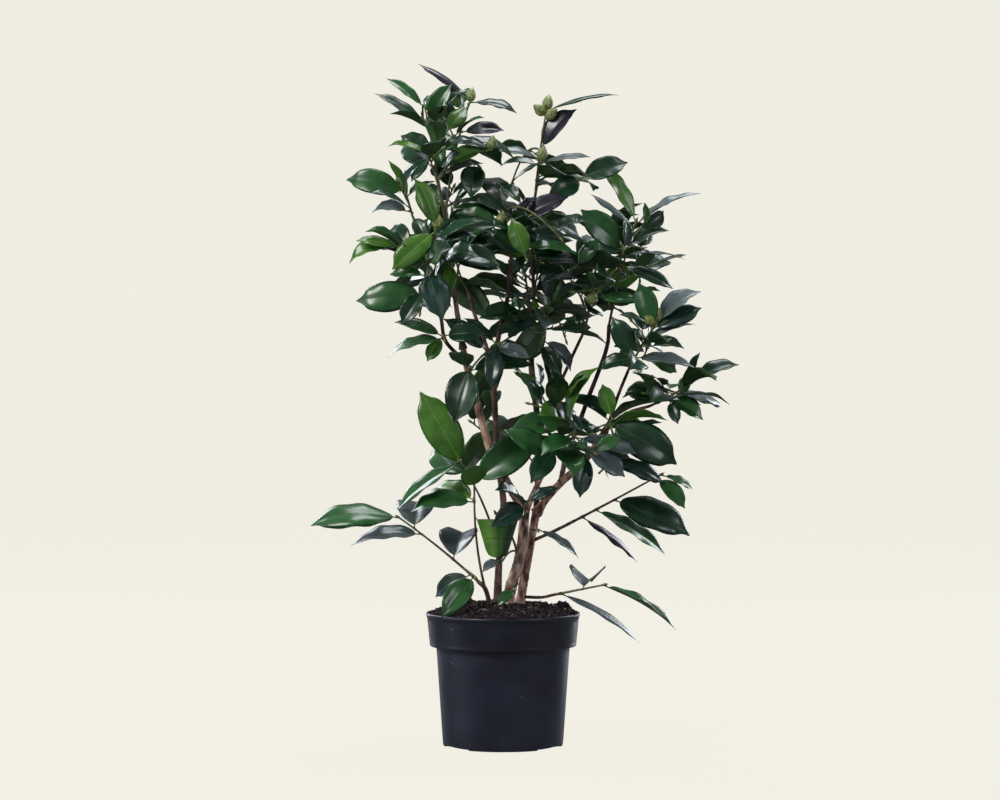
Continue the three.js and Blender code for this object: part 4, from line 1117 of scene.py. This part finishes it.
class Room:
    """A closed mesh with the box round it, to tell whether two share any space."""

    def __init__(self, points, faces):
        self.low, self.high = points.min(axis=0), points.max(axis=0)
        self.tree = BVHTree.FromPolygons(points.tolist(), [list(map(int, face)) for face in faces])

    def meets(self, other):
        if (self.low > other.high).any() or (other.low > self.high).any():
            return False
        return bool(self.tree.overlap(other.tree))


def node_room(name):
    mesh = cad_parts[name].data
    points = np.array([vertex.co for vertex in mesh.vertices]) / MM
    return Room(points, [polygon.vertices for polygon in mesh.polygons])


def leaf_room(leaf, start, margin):
    """The thin lens that the solids' source makes of a leaf, from a share of its length on."""
    length, along, up = leaf["length"], leaf["along"], leaf["up"]
    across = np.cross(up, along)
    half = length * leaf["width"] / 2

    def corner(share, wide, lift):
        arch = LEAF_ARCH * math.sin(math.pi * share) - LEAF_TIP_DROP * share**3
        return leaf["base"] + along * share * length + across * wide + up * (arch * length + lift)

    near, middle, far = [start + (1 - start) * share for share in (LEAF_NEAR, 0.5, LEAF_FAR)]
    near_half = LEAF_NEAR_WIDTH * half + margin
    far_half = LEAF_FAR_WIDTH * half + margin
    fold, thick = LEAF_FOLD * length, length * LEAF_THICKNESS / 2 + margin
    points = np.array([
        corner(start, 0, 0),
        corner(near, near_half, fold),
        corner(far, far_half, fold),
        corner(1 + margin / length, 0, 0),
        corner(far, -far_half, fold),
        corner(near, -near_half, fold),
        corner(middle, 0, thick),
        corner(middle, 0, -thick),
    ])
    faces = []
    for i in range(6):
        after = (i + 1) % 6
        faces += [(i, 6, after), (after, 7, i)]
    return Room(points, faces)


def twig_room(curve):
    shape = Shape()
    centres = [curve.point(share) for share in np.linspace(0, 1, 6)]
    add_tube(shape, centres, np.linspace(2.3, 1.5, 6), 3)
    return Room(np.concatenate(shape.points), [face for faces in shape.faces for face in faces])


def leaf_on(curve, length_of_curve, below, along, facing, length, width=LEAF_WIDTH):
    share = min(max(1 - below / length_of_curve, 0.05), 1)
    up = unit(facing - along * (facing @ along))
    return {"base": curve.point(share), "along": along, "up": up, "length": length, "width": width}


def posed_choices(sprig, pose):
    """The places a posed leaf may take: its own, and then a little to either side."""
    below, bearing, rise, length, face = pose[:5]
    width = pose[6] if len(pose) > 6 else LEAF_WIDTH
    face = math.radians(face)
    facing = vec((0, -math.sin(face), math.cos(face)))
    for swing in POSED_SWINGS:
        along = heading(bearing + swing, rise)
        yield leaf_on(sprig["curve"], sprig["length"], below, along, facing, length, width)


def spiral_choices(sprig, leaf_index):
    """The places a leaf of the spiral may take."""
    random = random_from(sprig["mass_index"] * 1009 + sprig["index"] * 101 + leaf_index * 7 + 5)
    curve, plan, length_of_curve = sprig["curve"], sprig["plan"], sprig["length"]
    step = min(NODE_STEP, length_of_curve * NODE_REACH / plan["leaves"])
    below = NODE_FIRST + (leaf_index - len(plan["posed"]) * 0.5) * step
    share = 1 - below / length_of_curve
    bearing = plan["turn"] + leaf_index * GOLDEN_TURN + (random() - 0.5) * BEARING_SPREAD
    rise = FIRST_RISE - RISE_LOSS * leaf_index + (random() - 0.5) * RISE_SPREAD
    size = YOUNG_SIZE + SIZE_GAIN * min(leaf_index, FULL_GROWN)
    if sprig["side"]:
        size = SIDE_LEAF_SIZE * (0.85 + 0.1 * leaf_index)
    length = LEAF_LENGTH * size * (1 + (random() - 0.5) * SIZE_SPREAD)
    tilt = math.radians(LEAF_TILT + (random() - 0.5) * TILT_SPREAD)
    out = curve.point(share) * (1, 1, 0)
    facing = unit(out) * math.sin(tilt) + vec((0, 0, math.cos(tilt)))
    for swing in SPIRAL_SWINGS:
        along = unit(heading(bearing + swing, rise) + curve.tangent(share) * FOLLOW_SHOOT)
        yield leaf_on(curve, length_of_curve, below, along, facing, length)


def sprig_on(curve, name, mass_index, index, plan, side=False):
    """A shoot as it grows: its place among the masses, its curve and the leaves to come."""
    return {
        "mass": name, "mass_index": mass_index, "index": index, "plan": plan, "curve": curve,
        "length": curve.length(), "room": twig_room(curve), "leaves": [], "side": side,
    }


def grow_sprigs(curves):
    """Every shoot of every mass, with its curve: the stem first, then its branches."""
    sprigs = []
    for mass_index, (name, plan) in enumerate(MASSES.items()):
        limb_line = curves[plan["on"]]
        tips = [vec(one["tip"]) for one in plan["shoots"]]
        stem = shoot_curve(limb_line.point(plan["at"]), limb_line.tangent(plan["at"]), tips[0])
        gap = (LAST_BRANCH - FIRST_BRANCH) / max(1, len(tips) - 2)
        for index, one in enumerate(plan["shoots"]):
            curve = stem
            if index:
                share = FIRST_BRANCH + gap * (index - 1)
                curve = shoot_curve(stem.point(share), stem.tangent(share), tips[index])
            sprigs.append(sprig_on(curve, name, mass_index, index, one))
    return sprigs


def clear_of_sky(leaf):
    """Whether a leaf, seen from the front, leaves the crown's gaps open."""
    for reach in (0.3, 0.6, 0.95):
        x, _, z = leaf["base"] + leaf["along"] * leaf["length"] * reach
        for gap_x, gap_z, wide, high in SKY_GAPS:
            if ((x - gap_x) / wide) ** 2 + ((z - gap_z) / high) ** 2 < 1:
                return False
    return True


def side_sprig(parent, number, turn):
    """A short twig on the side of a shoot, with the next larger number of its mass."""
    random = random_from(parent["mass_index"] * 577 + number * 31 + turn)
    share = SIDE_FROM + (SIDE_TO - SIDE_FROM) * random()
    start, tangent = parent["curve"].point(share), parent["curve"].tangent(share)
    out = heading(360 * random(), 50 * random() - 5)
    length = SIDE_LENGTH + SIDE_LENGTH_SPREAD * random()
    tip = start + unit(out + tangent * 0.5) * length
    curve = shoot_curve(start, unit(tangent + out), tip)
    plan = shoot(tuple(tip), SIDE_LEAVES, 360 * random())
    return sprig_on(curve, parent["mass"], parent["mass_index"], number, plan, side=True)


def grow_leaves(sprigs):
    """Gives each leaf the first of its places that crosses nothing, as the source does."""
    rooms = [node_room(name) for name in ["pot", "soil", *LIMBS]]
    settled = []

    def settle(sprig, choices, tint, allowed=lambda leaf: True):
        for leaf in filter(allowed, choices):
            free = leaf_room(leaf, LEAF_FREE_FROM, LEAF_MARGIN)
            whole = leaf_room(leaf, 0, LEAF_MARGIN)
            twigs = [(one["mass"], one["room"]) for one in sprigs]
            if any(free.meets(room) for room in rooms):
                continue
            others = settled + twigs
            if any((free if owner == sprig["mass"] else whole).meets(room) for owner, room in others):
                continue
            settled.append((sprig["mass"], whole))
            sprig["leaves"].append({**leaf, "tint": tint})
            return

    def add_side_sprigs(name, count):
        """Tries side twigs on the shoots of a mass in turn, and keeps those that find room."""
        parents = [one for one in sprigs if one["mass"] == name]
        low, high = (vec(corner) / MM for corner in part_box("leaves_" + name))
        low, high = low - SIDE_MARGIN, high + SIDE_MARGIN

        def within(leaf):
            tip = leaf["base"] + leaf["along"] * leaf["length"]
            return (tip > low).all() and (tip < high).all() and clear_of_sky(leaf)

        kept = 0
        for number in range(count * SIDE_TRIES):
            if kept == count:
                return
            parent = parents[number % len(parents)]
            side = side_sprig(parent, len(parents) + number, number)
            if any(side["room"].meets(room) for room in rooms + [room for _, room in settled]):
                continue
            sprigs.append(side)
            for leaf_index in range(SIDE_LEAVES):
                settle(side, spiral_choices(side, leaf_index), None, within)
            if len(side["leaves"]) < 2:
                del settled[len(settled) - len(side["leaves"]):]
                sprigs.pop()
            else:
                kept += 1

    for sprig in sprigs:
        for pose in sprig["plan"]["posed"]:
            tint = pose[5] if len(pose) > 5 else None
            settle(sprig, posed_choices(sprig, pose), tint)
    for sprig in sprigs:
        plan = sprig["plan"]
        for leaf_index in range(len(plan["posed"]), plan["leaves"]):
            settle(sprig, spiral_choices(sprig, leaf_index), None, clear_of_sky)
    for name, plan in MASSES.items():
        if plan["side_shoots"]:
            add_side_sprigs(name, plan["side_shoots"])
    deal_tints(sprigs)


# Shares of the tints among leaves whose tint isn't given; grey is a painted sheen.
TINT_SHARES = [("dark", 0.46), ("blue", 0.17), ("mid", 0.25), ("grey", 0.05), ("young", 0.07)]
TINT_KEPT = 0.62
TINT_SEED = 2024


def deal_tints(sprigs):
    """One tint to a shoot, which about a third of its leaves leave for another."""
    random = random_from(TINT_SEED)

    def draw():
        mark = random()
        for name, share in TINT_SHARES:
            mark -= share
            if mark < 0:
                return name
        return TINT_SHARES[0][0]

    for sprig in sprigs:
        own = draw()
        for leaf in sprig["leaves"]:
            other = draw()
            keep = random() < TINT_KEPT
            if leaf["tint"] is None:
                leaf["tint"] = own if keep else other


# ---- the leaves

BLADE_ROWS = 32
BLADE_WIDTH = 0.46
BLADE_THICK = 0.45
PETIOLE = 8
RIB_STEPS = 11
RIB_SIDES = 5
VEINS = 8
VEIN_LEAN = 0.2
VEIN_RELIEF = 0.16
TEETH = 0.2
OPEN_FOLD = 0.15
# How much leaves differ, as shares of their length or width, and in degrees.
BEND_SPREAD, TWIST_SPREAD, DROOP_SPREAD, HALF_SPREAD = 0.12, 50, 0.08, 0.2
LEAST_DROOP, LEAST_HOOK, HOOK_SPREAD = 0.014, 0.02, 0.09
ROLL, LEAST_WAVE, WAVE_SPREAD = 0.1, 0.005, 0.012
# How a leaf that is rolled lengthwise differs, as shares of the usual.
NARROW_TWIST = 0.3
NARROW_FOLD = 0.25
NARROW_DROOP = 0.5
NARROW_HALF = 0.86
NARROW_ARCH = 0.65
NARROW_RELIEF = 0.15


def blade_outline(share):
    """Half-width of a blade from 0 to 1: an oval with a drawn-out tip."""
    oval = np.sin(math.pi * share**0.93) ** 0.62
    return oval * (1 - 0.55 * smooth(share, 0.8, 0.95))


def add_leaf(shape, leaf, seed):
    """One leaf: a toothed blade that is folded, arched and veined, its stalk and midrib."""
    random = random_from(seed)
    length = leaf["length"]
    narrow = leaf["width"] < LEAF_WIDTH

    def spread(width):
        return (random() - 0.5) * width

    bend, twist = spread(BEND_SPREAD), math.radians(spread(TWIST_SPREAD))
    twist *= 1 if leaf["width"] == LEAF_WIDTH else NARROW_TWIST
    droop, roll = LEAST_DROOP + spread(DROOP_SPREAD), ROLL * random() ** 1.5
    hook = LEAST_HOOK + HOOK_SPREAD * random() ** 2
    wave, wave_turn = LEAST_WAVE + WAVE_SPREAD * random(), random() * 6.28
    fold = LEAF_FOLD * (0.6 + 2.4 * random() ** 1.3)
    fold = fold * NARROW_FOLD + 0.02 if narrow else fold + OPEN_FOLD * (leaf["width"] > LEAF_WIDTH)
    if narrow:
        droop, hook = droop * NARROW_DROOP, hook * NARROW_DROOP
    half = length * BLADE_WIDTH * leaf["width"] / LEAF_WIDTH / 2 * (1 + spread(HALF_SPREAD))
    half *= NARROW_HALF if narrow else 1
    stalk = PETIOLE / length

    def place(share, aside, lift):
        """A point of the leaf, from its share of the length, in the row frame."""
        arch = LEAF_ARCH * np.sin(math.pi * share) * (NARROW_ARCH if narrow else 1)
        arch = arch - LEAF_TIP_DROP * share**3
        arch = arch - droop * smooth(share, 0.5, 1.05) - hook * smooth(share, 0.78, 1.06)
        turn = twist * (share - 0.35)
        side_bend = bend * length * (np.sin(math.pi * share * 0.5) ** 2 - share) * 0.8
        x = side_bend + aside * np.cos(turn) - lift * np.sin(turn)
        z = arch * length + aside * np.sin(turn) + lift * np.cos(turn)
        along, up = leaf["along"], leaf["up"]
        return outward(leaf["base"], (x, np.cross(up, along)), (share * length, along), (z, up))

    rows = np.linspace(0, 1, BLADE_ROWS + 1)
    width = np.maximum(blade_outline(rows) * half, 0.12)
    rib = np.minimum(0.75 * (1 - 0.72 * rows), 0.3 * width)
    spans = vec((0, 0.24, 0.52, 0.8, 1))
    right = rib[:, None] + (width - rib)[:, None] * spans
    aside = np.concatenate([-right[:, ::-1], right], axis=1)
    columns = aside.shape[1]
    inner = np.abs(aside) / np.maximum(width, 0.5)[:, None]
    tooth = np.where(np.arange(BLADE_ROWS + 1) % 2 == 1, TEETH, -TEETH / 2) * smooth(rows, 0.04, 0.12)
    tooth = tooth * (1 - smooth(rows, 0.9, 0.97))
    aside[:, 0] -= tooth
    aside[:, -1] += tooth
    full = (width / half)[:, None]
    lift = length * full * (fold * np.minimum(inner, 1) ** 1.3 - roll * inner**3)
    lift = lift + wave * length * full * inner**2 * np.sin(rows[:, None] * 17 + wave_turn + aside * 0.09)
    veins = VEINS * (rows[:, None] - VEIN_LEAN * inner)
    relief = VEIN_RELIEF * np.cos(2 * math.pi * veins) * inner * (1 - inner**4) * smooth(full, 0.2, 0.6)
    relief = relief * (NARROW_RELIEF if narrow else 1)
    groove = -0.35 * np.exp(-(((np.abs(aside) - rib[:, None]) / 0.9) ** 2)) * smooth(full, 0.1, 0.5)
    share = stalk + (1 - stalk) * np.broadcast_to(rows[:, None], aside.shape)
    top = place(share, aside, lift + relief + groove)
    thick = BLADE_THICK * (1 - inner**6) * smooth(full, 0.0, 0.25)
    under = place(share, aside, lift + relief * 0.9 + groove * 0.6 - thick)

    young = leaf["tint"] == "young"
    slots = np.full((BLADE_ROWS, columns - 1), LEAF_TINT_NAMES.index(leaf["tint"]))
    slots[:, columns // 2 - 1] = RIB_YOUNG if young else RIB
    add_sheet(shape, top, under, slots, UNDERSIDE_YOUNG if young else UNDERSIDE)

    steps = np.linspace(0, 0.8, RIB_STEPS)
    in_blade = smooth(steps, stalk * 0.6, stalk * 1.6)
    thickness = np.interp(steps, [0, stalk, 0.8], [1.15, 0.85, 0.28])
    centres = place(steps, np.zeros(RIB_STEPS), -in_blade * (0.35 + 0.55 * thickness))
    add_tube(shape, centres, thickness, RIB_SIDES, RIB_YOUNG if young else RIB, side=leaf["up"])


CUP_ROWS = 66
CUP_COLUMNS = 48
CUP_TURN = 96
CUP_TAPER = 0.5
CUP_CREASE = 0.5
# How many columns of the cup take each of its painted tones, from painted light on its lit side to painted
# shade on its far side.
CUP_PAINTED_SHADING_BANDS = (20, 4, 6, 18)


def add_cup_leaf(shape, leaf):
    """The leaf that hangs by the stems, curled into a cup with a crease across it."""
    length, along, up = leaf["length"], leaf["along"], leaf["up"]
    stalk = PETIOLE / length
    rows, columns = np.linspace(0, 1, CUP_ROWS + 1)[:, None], np.linspace(-1, 1, CUP_COLUMNS + 1)
    radius = length * leaf["width"] / 2 * (1 - CUP_TAPER * rows) * np.sqrt(np.maximum(1 - rows**14, 0.03))
    angle = np.radians(CUP_TURN * (1 - 0.2 * rows)) * columns
    past = rows - CUP_CREASE - 0.03 * columns**2
    crease = 1.1 * (past > 0) * np.exp(-np.maximum(past, 0) / 0.1) * (1 - smooth(np.abs(columns), 0.5, 0.8))
    lip = 0.5 * np.exp(-((rows / 0.02) ** 2)) + 1.4 * np.sin(2.4 * columns + 2 * rows)
    grids = []
    for inset in (0.0, 0.55):
        out = radius - crease + lip - inset
        x = out * np.sin(angle) + 3 * rows
        z = out * np.cos(angle) - radius
        ear = 0.05 * columns**2 + 0.06 * smooth(-columns, 0.8, 1)
        share = stalk + (1 - stalk) * rows - ear * (1 - rows)
        grids.append(outward(leaf["base"], (x, np.cross(up, along)), (z, up), (share * length, along)))
    # The columns take bands of painted light and shade, from the cup's lit side to its shaded side.
    painted_shading_tones = [i for i, name in enumerate(LEAF_TINT_NAMES) if name.startswith("cup")]
    slots = np.tile(np.repeat(painted_shading_tones, CUP_PAINTED_SHADING_BANDS), CUP_ROWS)
    add_sheet(shape, *grids, slots, UNDERSIDE, corner=1)
    steps = np.linspace(0, stalk * 1.3, 6)
    centres = leaf["base"] + np.outer(steps * length, along) - up * 0.4
    add_tube(shape, centres, np.linspace(1.3, 0.9, 6), RIB_SIDES, RIB_YOUNG, side=up)


def masses_of(group):
    return [name for name, plan in MASSES.items() if plan["group"] == group]


def make_leaves(sprigs):
    materials = leaf_materials()
    for group in GROUPS:
        names = masses_of(group)
        shape = Shape()
        for sprig in [one for one in sprigs if one["mass"] in names]:
            for i, leaf in enumerate(sprig["leaves"]):
                if leaf["width"] == CUP_WIDTH:
                    add_cup_leaf(shape, leaf)
                else:
                    add_leaf(shape, leaf, sprig["mass_index"] * 7001 + sprig["index"] * 211 + i * 13 + 3)
        leaves = shape.make("foliage_" + group, materials)
        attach(leaves, "root")
        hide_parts(*("leaves_" + name for name in names))


# ---- the twigs and the buds

TWIG_RING_STEP = 2.5
TWIG_SIDES = 10
NODE_SWELL = 0.3
BRANCH_BASE_RADIUS = 1.55
SIDE_TIP_RADIUS = 0.9
BUD_SCALES = 8
# Leaf buds, at a twig's tip and in a leaf's angle: length and radius.
TIP_BUD = (8.5, 1.9)
AXIL_BUD = (4.6, 1.15)


def add_twig(shape, sprig):
    """A shoot's own wood, swollen where its leaves stand, brown at the foot of a stem."""
    curve, length = sprig["curve"], sprig["length"]
    rings = max(8, int(length / TWIG_RING_STEP))
    shares = np.arange(rings + 1) / rings
    centres = np.array([curve.point(share) for share in shares])
    stem = sprig["index"] == 0
    foot = TWIG_BASE_RADIUS if stem else BRANCH_BASE_RADIUS
    tip = SIDE_TIP_RADIUS if sprig["side"] else TWIG_TIP_RADIUS
    radii = foot + (tip - foot) * shares
    for leaf in sprig["leaves"]:
        apart = np.linalg.norm(centres - leaf["base"], axis=1)
        radii = radii * (1 + NODE_SWELL * np.exp(-((apart / 2.4) ** 2)))
    angles = np.arange(TWIG_SIDES)
    seed = sprig["mass_index"] * 17 + sprig["index"]
    rough = np.array([
        [noise.noise(Vector((j * 1.7, i * 0.6, seed))) for j in angles] for i in range(rings + 1)
    ])
    brown = (length - 60) / length if stem else 0.25
    cut = max(1, int(brown * rings)) if stem else 0
    radii = radii[:, None] * (1 + 0.1 * rough)
    if cut > 1:
        add_tube(shape, centres[:cut + 1], radii[:cut + 1], TWIG_SIDES, slot=0)
    add_tube(shape, centres[max(0, cut - 1):], radii[max(0, cut - 1):] * 0.985, TWIG_SIDES, slot=1)


def add_small_bud(shape, base, along, length, radius):
    """A slim leaf bud."""
    shares = vec((0, 0.2, 0.45, 0.7, 0.88, 1))
    girth = vec((0.6, 0.95, 1, 0.7, 0.35, 0.08)) * radius
    add_tube(shape, base + np.outer(shares * length, along), girth, 7, slot=0)


def add_flower_bud(shape, base, along, seed):
    """A flower bud: an egg wrapped in overlapping scales with brown edges."""
    random = random_from(seed)
    length = BUD_LENGTH * (0.92 + 0.2 * random())
    radius = BUD_RADIUS * (0.9 + 0.16 * random())
    side = unit(np.cross(along, (0.3, 0.2, 1)))
    front = np.cross(along, side)

    def egg(share):
        return np.sin(math.pi * np.clip(share, 0, 1) ** 0.82) ** 0.8 * (1 - 0.12 * share)

    core = np.linspace(0.02, 0.985, 14)
    add_tube(shape, base + np.outer(core * length, along), egg(core) * radius * 0.96, 14, slot=0, side=side)
    for i in range(BUD_SCALES):
        turn = math.radians(i * GOLDEN_TURN + 40 * random())
        reach = 0.34 + 0.62 * (i + 1) / BUD_SCALES
        start = max(0.0, reach - 0.62)
        stand = 0.08 + 0.035 * (BUD_SCALES - i)
        rows, columns = np.linspace(0, 1, 9), np.linspace(-1, 1, 8)
        share = start + (reach - start) * rows[:, None] * (1 - 0.16 * columns**2 * rows[:, None])
        spread = math.radians(72) * np.sqrt(np.maximum(1 - rows[:, None] ** 2.6, 0.02)) * columns
        girth = egg(share) * radius * 0.96
        lip = 0.1 * smooth(rows[:, None], 0.75, 1) + 0 * columns
        sheets = []
        for depth in (stand + lip, stand + lip - 0.3):
            out = girth + depth
            x, y = out * np.cos(turn + spread), out * np.sin(turn + spread)
            sheets.append(outward(base, (x, side), (y, front), (share * length, along)))
        slots = np.zeros((8, 7), int)
        slots[-1, :] = 1
        add_sheet(shape, *sheets, slots, 0, corner=1)


def make_twigs(sprigs):
    twig_looks, bud_looks = twig_materials(), bud_materials()
    buds = Shape()
    for group in GROUPS:
        names = masses_of(group)
        shape = Shape()
        for sprig in [one for one in sprigs if one["mass"] in names]:
            add_twig(shape, sprig)
            curve, plan = sprig["curve"], sprig["plan"]
            tip = curve.tangent(1)
            if not plan["buds"]:
                add_small_bud(buds, curve.point(1) - tip, tip, *TIP_BUD)
            for leaf in sprig["leaves"]:
                along = unit(unit(leaf["along"]) + tip * 1.2)
                add_small_bud(buds, leaf["base"] + along * 0.8, along, *AXIL_BUD)
            for bud in range(plan["buds"]):
                rise = BUD_SIDE_RISE if bud else BUD_TOP_RISE
                along = heading(BUD_BEARING + bud * GOLDEN_TURN, rise)
                base = curve.point(1 - (bud + 0.5) * BUD_STEP)
                add_flower_bud(buds, base, along, sprig["mass_index"] * 31 + bud)
        twigs = shape.make("twigs_" + group, twig_looks)
        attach(twigs, "root")
    piece = buds.make("buds", bud_looks)
    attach(piece, "root")


# ---- the stage

# Lights: place and size in metres, power and colour.
LIGHT_AIM = (0, 0, 0.5)
LIGHTS = {
    "key_light": ((-1.9, -1.7, 2.1), (1.1, 1.1), 62, (1, 0.98, 0.96)),
    "fill_light": ((2.4, -1.9, 1.2), (0.9, 1.5), 20, (0.93, 0.96, 1)),
    "top_light": ((0.2, 0.5, 3.0), (1.5, 1.5), 52, (0.92, 0.96, 1)),
    "back_left_light": ((-1.6, 2.2, 1.8), (0.9, 1.5), 34, (0.9, 0.95, 1)),
    "back_right_light": ((2.0, 1.9, 1.5), (0.9, 1.5), 34, (0.9, 0.95, 1)),
    "rim_right_light": ((1.5, 2.3, 0.5), (0.5, 1.3), 14, (0.84, 0.9, 1)),
    "rim_left_light": ((-1.4, 2.4, 0.5), (0.4, 1.2), 8, (0.9, 0.95, 1)),
    "side_left_light": ((-2.4, -0.3, 0.6), (0.8, 1.3), 11, (0.8, 0.86, 1)),
}
SKY_COLOUR, SKY_STRENGTH = (0.8, 0.84, 0.9), 0.22

# The stage: the light it gives off, the share it reflects, and its sizes.
STAGE_COLOUR = (0.866, 0.84, 0.752)
STAGE_ALBEDO = (0.02, 0.02, 0.02)
STAGE_FLAT = 6500
STAGE_RADIUS = 9000
STAGE_HEIGHT = 6000
STAGE_SIDES = 96


def make_stage():
    """A round pale floor that rises to a wall, with the camera inside it."""
    profile = [(600, 0), (1500, 0), (3000, 0), (5000, 0), (STAGE_FLAT, 0)]
    bend = STAGE_RADIUS - STAGE_FLAT
    for angle in np.radians(np.arange(1, 13) * 7.5):
        profile.append((STAGE_FLAT + bend * math.sin(angle), bend * (1 - math.cos(angle))))
    profile.append((STAGE_RADIUS, STAGE_HEIGHT))
    points = []
    for radius, height in profile:
        for angle in circle(STAGE_SIDES):
            points.append((radius * math.cos(angle), radius * math.sin(angle), height))
    middle = fan(np.arange(STAGE_SIDES), len(points))
    points.append((0, 0, 0))
    paper = material("studio_paper", STAGE_ALBEDO, 0.9, specular=0.0)
    set_sockets(shader_of(paper), {"Emission Color": (*STAGE_COLOUR, 1), "Emission Strength": 1.0})
    shape = Shape()
    shape.add(points, ring_faces(len(profile), STAGE_SIDES)[:, ::-1], middle)
    floor = shape.make("studio_floor", [paper])
    floor.visible_glossy = False
    floor.visible_diffuse = False


def aim_from(thing, place, target):
    """Puts a lamp or a camera at a place and turns it to a target."""
    thing.location = place
    thing.rotation_euler = (Vector(target) - Vector(place)).to_track_quat("-Z", "Y").to_euler()
    bpy.context.scene.collection.objects.link(thing)


def add_light(name, place, size, power, colour):
    light = bpy.data.lights.new(name, "AREA")
    light.shape = "RECTANGLE"
    light.size, light.size_y = size
    light.energy = power
    light.color = colour
    lamp = bpy.data.objects.new(name, light)
    aim_from(lamp, place, LIGHT_AIM)
    lamp.visible_camera = False


def make_studio():
    make_stage()
    for name, light in LIGHTS.items():
        add_light(name, *light)
    world = bpy.data.worlds.new("studio_world")
    world.use_nodes = True
    set_sockets(world.node_tree.nodes["Background"], {"Color": (*SKY_COLOUR, 1), "Strength": SKY_STRENGTH})
    scene = bpy.context.scene
    scene.world = world
    scene.view_settings.view_transform = "Standard"
    camera = bpy.data.objects.new("camera", bpy.data.cameras.new("camera"))
    aim_from(camera, CAMERA_PLACE, CAMERA_AIM)
    camera.data.lens = CAMERA_LENS
    camera.data.sensor_width = CAMERA_SENSOR
    camera.data.clip_end = 100
    scene.camera = camera


# ---- the assembly


def make_plant():
    curves = {}
    for name, plan in LIMBS.items():
        curves[name] = limb_curve(plan, curves)
    sprigs = grow_sprigs(curves)
    grow_leaves(sprigs)
    make_bark(curves)
    make_leaves(sprigs)
    make_twigs(sprigs)


make_pot()
make_soil()
make_crumbs()
make_plant()
make_studio()
